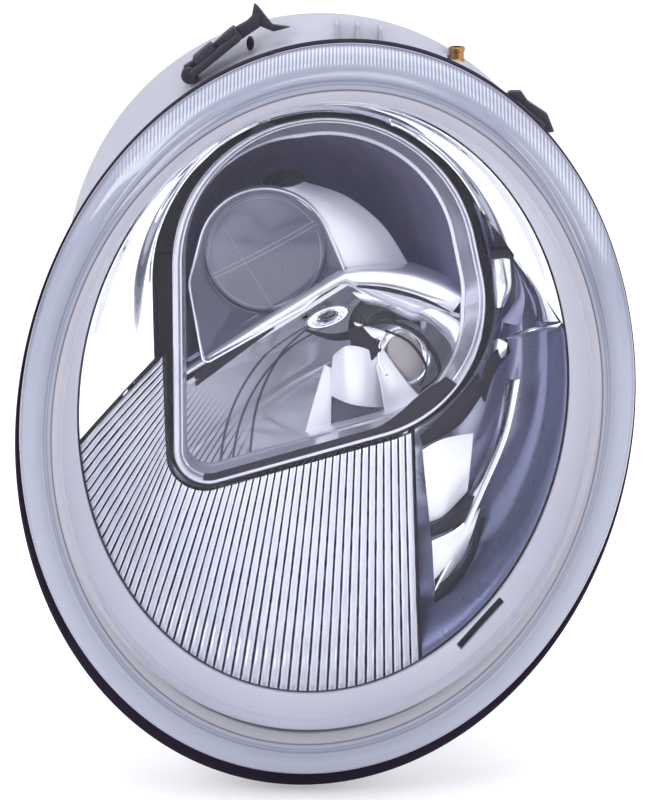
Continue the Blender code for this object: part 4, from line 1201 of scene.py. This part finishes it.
def make_housing():
    sections = [
        (-1, 0, 0, 114.2, 142.2, 10.2), (2, 0, 0, 114.4, 142.4, 10.2), (14, 0, 0, 114.4, 142.4, 10.2),
        (32, -0.5, 3, 112.5, 138, 8), (48, -1, 12, 109, 129.5, 5), (62, -2, 31, 105, 116.5, 2),
        (72, -2, 42, 102.5, 106.5, 0), (96, -0.5, 40, 95, 99, 0), (109, 0, 38.4, 87, 94.4, 0),
        (112, 0, 38, 83, 91, 0)
    ]
    outer = [(
        *flow([(s[0], s[1], s[2]) for s in sections], t / 40), *flow([s[3:6] for s in sections], t / 40)
    ) for t in range(41)]
    collar = [
        (112, *REAR_CAP, 59.5, 59.5, 0), (113, *REAR_CAP, 58, 58, 0), (121.4, *REAR_CAP, 58, 58, 0),
        (122, *REAR_CAP, 57.4, 57.4, 0), (122, *REAR_CAP, 55.6, 55.6, 0), (121.4, *REAR_CAP, 55, 55, 0),
        (109, *REAR_CAP, 55, 55, 0)
    ]
    inner = [(y - (3 if y > 100 else 0), x, z, a - 3, b - 3, lean) for y, x, z, a, b, lean in reversed(outer)]
    rows = outer + collar + inner

    def place(u, v):
        y, x, z, a, b, lean = rows[round(v * len(rows)) % len(rows)]
        spot = oval_at(((x, z), a, b, radians(lean)), 2 * pi * u)
        return spot.x, y, spot.y
    shell = skin(256, len(rows), place, wrap=True)
    cut(shell, turned((SIGNAL[0], 0, SIGNAL[1]), [(56, 17.6), (130, 17.6)], 64))
    for x, z, hole in ((-30, 113.5, 3.8), (60, 93, 3.8), (-48.5, -20.5, 3.6)):
        cut(shell, turned((x, 0, z), [(98, hole), (130, hole)], 32))
    fit(shell, "housing_shell", GREY_PLASTIC, "housing_body", "grey_plastic", "housing", angle=32)
    sleeve = turned(
        (SIGNAL[0], 0, SIGNAL[1]),
        [(56, 15), (56, 18), (81.4, 18), (82, 17.4), (82, 15.6), (81.4, 15), (56, 15)], 64, closed=False
    )
    fit(sleeve, "signal_lamp_sleeve", GREY_PLASTIC, "housing_body", "grey_plastic")

    details = []

    def round_top(angle):
        spot = oval_at(((0, 0), 114.4, 142.4, radians(10.2)), radians(angle))
        return spot.x, 35, spot.y
    for angle, wide in ((85.6, 7.5), (76.4, 8.5)):
        x, y, z = round_top(angle)
        details.append(box((x, y, z), (wide, 13, 5.0), 0.7, radians(90 - angle) - radians(3)))
    for x, z in ((4.2, 147.2), (12.4, 146.8), (21.5, 145.2)):
        details.append(box((x, 52, z - 5), (1.5, 18, 12), 0.4))
    x, y, z = 63.2, 34, 128.0
    details.append(box((x - 1.6, y, z - 3.0), (5.4, 10, 6.0), 0.8, radians(30)))
    details.append(box((68.4, 26, 118.2), (12, 8, 3.4), 0.7, radians(42)))
    fit(join(*details), "housing_pads_and_fins", GREY_PLASTIC, "housing_body", "grey_plastic")
    x, y, z = round_top(81)
    # The dark box round the pane is painted shade in the gap round it.
    window = box((x, y, z - 0.6), (12.5, 13, 4.2), 0.4, radians(7))
    pane = box((x, y, z - 0.2), (9.5, 10, 4.2), 0.4, radians(7))
    fit(pane, "clip_window_pane", GREY_PLASTIC, "housing_body", "grey_plastic")
    fit(window, "clip_window", PAINTED_SHADE_AND_BLACK, "housing_body", "black_plastic")

    rib = box((0, 114.2, 0), (2.2, 6, 18), 0.6)
    ribs = []
    for turn in (28, 60, 88, 118, 150, 196, 342):
        copy = twin(rib)
        a = radians(turn)
        copy.rotation_euler = (0, pi / 2 - a, 0)
        copy.location = Vector((75.5 * cos(a), 0, 36 + 76.5 * sin(a))) * MM
        settle(copy)
        ribs.append(copy)
    bpy.data.objects.remove(rib)
    fit(join(*ribs), "rear_wall_ribs", GREY_PLASTIC, "housing_body", "grey_plastic")


def make_brackets():
    arm = plate(
        [
            (-57, 130.5), (-51.5, 134), (-40.4, 143.6), (-31.6, 148.6), (-27.4, 152.6), (-25.6, 151.8),
            (-26.2, 146.4), (-36, 139.8), (-47, 133.6), (-55, 128.6)
        ],
        47.2, 4.6, 0.5
    )
    prong = plate(
        [
            (-29.6, 150.4), (-28.6, 155.6), (-27.0, 154.4), (-21.4, 147.2), (-14.2, 146.2),
            (-21.0, 144.4), (-26.4, 146.6)
        ],
        48, 3.6, 0.4
    )
    rail = box((-44, 43.5, 135.6), (24, 6.5, 3.2), 0.6, radians(-39))
    heel = box((-47.5, 46.0, 135.2), (9.5, 9, 6.5), 0.8, radians(-39))
    toe = box((-37.5, 46.5, 143.0), (6.5, 8, 5.5), 0.8, radians(-39))
    hook = turned((-54.2, 0, 127.4), [(44, 3.0), (44.6, 3.4), (50.4, 3.4), (51, 3.0)], 40)
    fit(
        join(arm, prong, rail, heel, toe, hook), "upper_left_catch", BLACK_PLASTIC, "housing_body",
        "black_plastic", "upper_left_bracket"
    )
    drop = turned((-30.2, 0, 139.6), [(46.6, 1.6), (47.0, 2.0), (50, 2.2)], 32, stretch=(0.7, 1.3))
    fit(drop, "catch_rivet", PAINTED_SHADE_AND_BLACK, "housing_body", "black_plastic")
    right = plate(
        [
            (70.6, 119), (72.4, 121.4), (77, 121.4), (79.8, 117.4), (87.6, 112.2), (90.4, 105.2),
            (86, 104.6), (79, 110)
        ],
        42.2, 5.6, 0.6
    )
    lip = box((80.2, 40.5, 112.6), (15, 5, 2.6), 0.6, radians(40))
    fit(
        join(right, lip), "upper_right_catch", BLACK_PLASTIC, "housing_body", "black_plastic",
        "upper_right_bracket"
    )
    bush = turned(
        (52, 62, 0),
        [
            (128.6, 2.1), (128.6, 3.0), (129.0, 3.3), (131.4, 3.3), (131.8, 2.9), (134.4, 2.9),
            (134.8, 3.3), (136.1, 3.3), (136.5, 3.0), (136.5, 2.1), (128.6, 2.1)
        ],
        48, axis="Z", closed=False
    )
    fit(bush, "brass_sleeve", BRASS, "housing_body", "brass", "brass_bush")


def make_swivel_pin():
    pin = turned((0, 70, 0), [(128, 2.6), (128.4, 3), (146.8, 3), (147.2, 2.6)], 40, axis="Z")
    fit(pin, "top_swivel_pin", STEEL, "housing_body", "bare_steel", "upper_swivel_pin")


def make_rear():
    x, z = REAR_CAP
    rib = box((0, 119.5, 63.0), (3.0, 11, 1.6), 0.4)
    ribs = []
    for i in range(36):
        copy = twin(rib)
        copy.rotation_euler = (0, 2 * pi * i / 36, 0)
        copy.location = (x * MM, 0, z * MM)
        settle(copy)
        ribs.append(copy)
    bpy.data.objects.remove(rib)
    fit(join(*ribs), "rear_cap_grip_ribs", BLACK_PLASTIC, "rear_cap_body", "black_plastic")
    for name, at, wide, high, turn, many in (
        ("main_socket_pins", (54, 127.6, -34), 4.2, 3.2, radians(38), (4, 2)),
        ("motor_socket_pins", (-77.6, 131.5, -57.4), 4.2, 0, radians(-50), (3, 1))
    ):
        pins = []
        for i in range(many[0]):
            for j in range(many[1]):
                pin = box((0, 0, 0), (0.9, 7, 0.9), 0.2)
                across, up = (i - (many[0] - 1) / 2) * wide, (j - (many[1] - 1) / 2) * high * 1.4
                pin.location = Vector((
                    at[0] + across * cos(turn) + up * sin(turn), at[1] - 3.6,
                    at[2] - across * sin(turn) + up * cos(turn)
                )) * MM
                settle(pin)
                pins.append(pin)
        fit(join(*pins), name, BRASS, "housing_body", "brass")


CARRIED = {
    BLACK_PLASTIC: (
        "reflector_carrier", "aiming_frame", "level_motor", "motor_socket", "main_socket", "breather_cap",
        "rear_cap", "high_beam_plug", "low_beam_plug"
    ),
    RUBBER: ("rear_cap_seal",),
    GREY_PLASTIC: (
        "lens_clip_1", "lens_clip_2", "lens_clip_3", "lens_clip_4", "lens_clip_5", "lens_clip_6",
        "lower_left_lug", "lower_right_lug", "signal_holder"
    ),
    STEEL: ("lower_swivel_pin", "left_tilt_pin", "right_tilt_pin", "low_beam_clip", "high_beam_clip"),
    WHITE_PLASTIC: (
        "height_adjuster", "side_adjuster", "height_nut", "side_nut", "motor_rod", "parking_holder"
    ),
    BULB_GLASS: ("high_beam_bulb", "low_beam_bulb", "parking_bulb"), AMBER: ("signal_bulb",),
}


def refinish():
    for material, names in CARRIED.items():
        for name in names:
            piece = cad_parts[name]
            piece.data.materials.clear()
            piece.data.materials.append(material)


# ---- studio ----


def make_studio():
    let_go()
    bpy.ops.mesh.primitive_plane_add(size=1, location=(0, 0, 0))
    floor = bpy.context.object
    floor.name = "studio_floor"
    floor.scale = (14, 14, 1)
    floor.location = (0, 4, FLOOR)
    settle(floor)
    pale = finish("pale_floor", (0.97, 0.96, 0.94), (0.95, 0.94, 0.92), 0.9, 0, 2)
    pale.node_tree.nodes["Principled BSDF"].inputs["Emission Color"].default_value = (1.0, 0.99, 0.96, 1)
    pale.node_tree.nodes["Principled BSDF"].inputs["Emission Strength"].default_value = 0.22
    floor.data.materials.append(pale)

    world = bpy.data.worlds.new("pale_studio")
    bpy.context.scene.world = world
    world.use_nodes = True
    tree = world.node_tree
    back = tree.nodes["Background"]
    place = node(tree, "ShaderNodeTexCoord")
    parts = node(tree, "ShaderNodeSeparateXYZ")
    tree.links.new(place.outputs["Generated"], parts.inputs[0])
    drift = node(tree, "ShaderNodeTexNoise", detail=1.5, scale=1.7)
    tree.links.new(place.outputs["Generated"], drift.inputs["Vector"])
    level = plus(tree, times(tree, parts.outputs["Z"], 0.5), times(tree, drift.outputs["Fac"], 0.42))
    sky = ramp_of(
        tree, level,
        [
            (0.0, (0.80, 0.82, 0.92)), (0.06, (0.55, 0.57, 0.72)), (0.10, (0.02, 0.02, 0.05)),
            (0.135, (0.03, 0.03, 0.07)), (0.15, (0.85, 0.87, 0.97)), (0.22, (1.1, 1.1, 1.12)),
            (0.28, (0.45, 0.47, 0.62)), (0.30, (0.03, 0.03, 0.07)), (0.32, (0.9, 0.92, 1.0)),
            (0.40, (1.15, 1.15, 1.18)), (0.47, (0.50, 0.52, 0.68)), (0.49, (0.03, 0.03, 0.06)),
            (0.52, (0.8, 0.82, 0.95)), (0.75, (1.1, 1.12, 1.18))
        ]
    )
    path = node(tree, "ShaderNodeLightPath")
    tree.links.new(blend(tree, path.outputs["Is Camera Ray"], sky, (1.0, 1.0, 1.0, 1)), back.inputs["Color"])
    back.inputs["Strength"].default_value = 1.0

    for name, spot, aim, wide, high, power in (
        ("left_softbox", (-1.3, -1.1, 1.0), (0, 0, 0), 1.0, 0.8, 14),
        ("right_softbox", (1.5, -0.8, 0.7), (0, 0, 0), 0.7, 0.9, 9),
        ("top_softbox", (0.1, 0.2, 1.7), (0, 0.1, 0), 1.6, 1.0, 12),
    ):
        lamp = bpy.data.lights.new(name, "AREA")
        lamp.shape, lamp.size, lamp.size_y, lamp.energy = "RECTANGLE", wide, high, power
        holder = bpy.data.objects.new(name, lamp)
        bpy.context.scene.collection.objects.link(holder)
        holder.location = spot
        holder.rotation_euler = (Vector(aim) - Vector(spot)).to_track_quat("-Z", "Y").to_euler()

    camera = bpy.data.cameras.new("camera")
    long_lens, sensor = 183.67, 36
    camera.lens, camera.sensor_width = long_lens, sensor
    holder = bpy.data.objects.new("camera", camera)
    bpy.context.scene.collection.objects.link(holder)
    holder.location = (0, -1.5577, 0.36565)
    holder.rotation_euler = (radians(77), 0, 0)
    bpy.context.scene.camera = holder
    bpy.context.scene.view_settings.view_transform = "Standard"


make_lens()
make_gasket()
make_bezel()
make_panels()
side_blades()
make_pod()
make_crest()
make_high_beam()
make_low_beam()
make_housing()
make_brackets()
make_swivel_pin()
make_rear()
refinish()
make_studio()
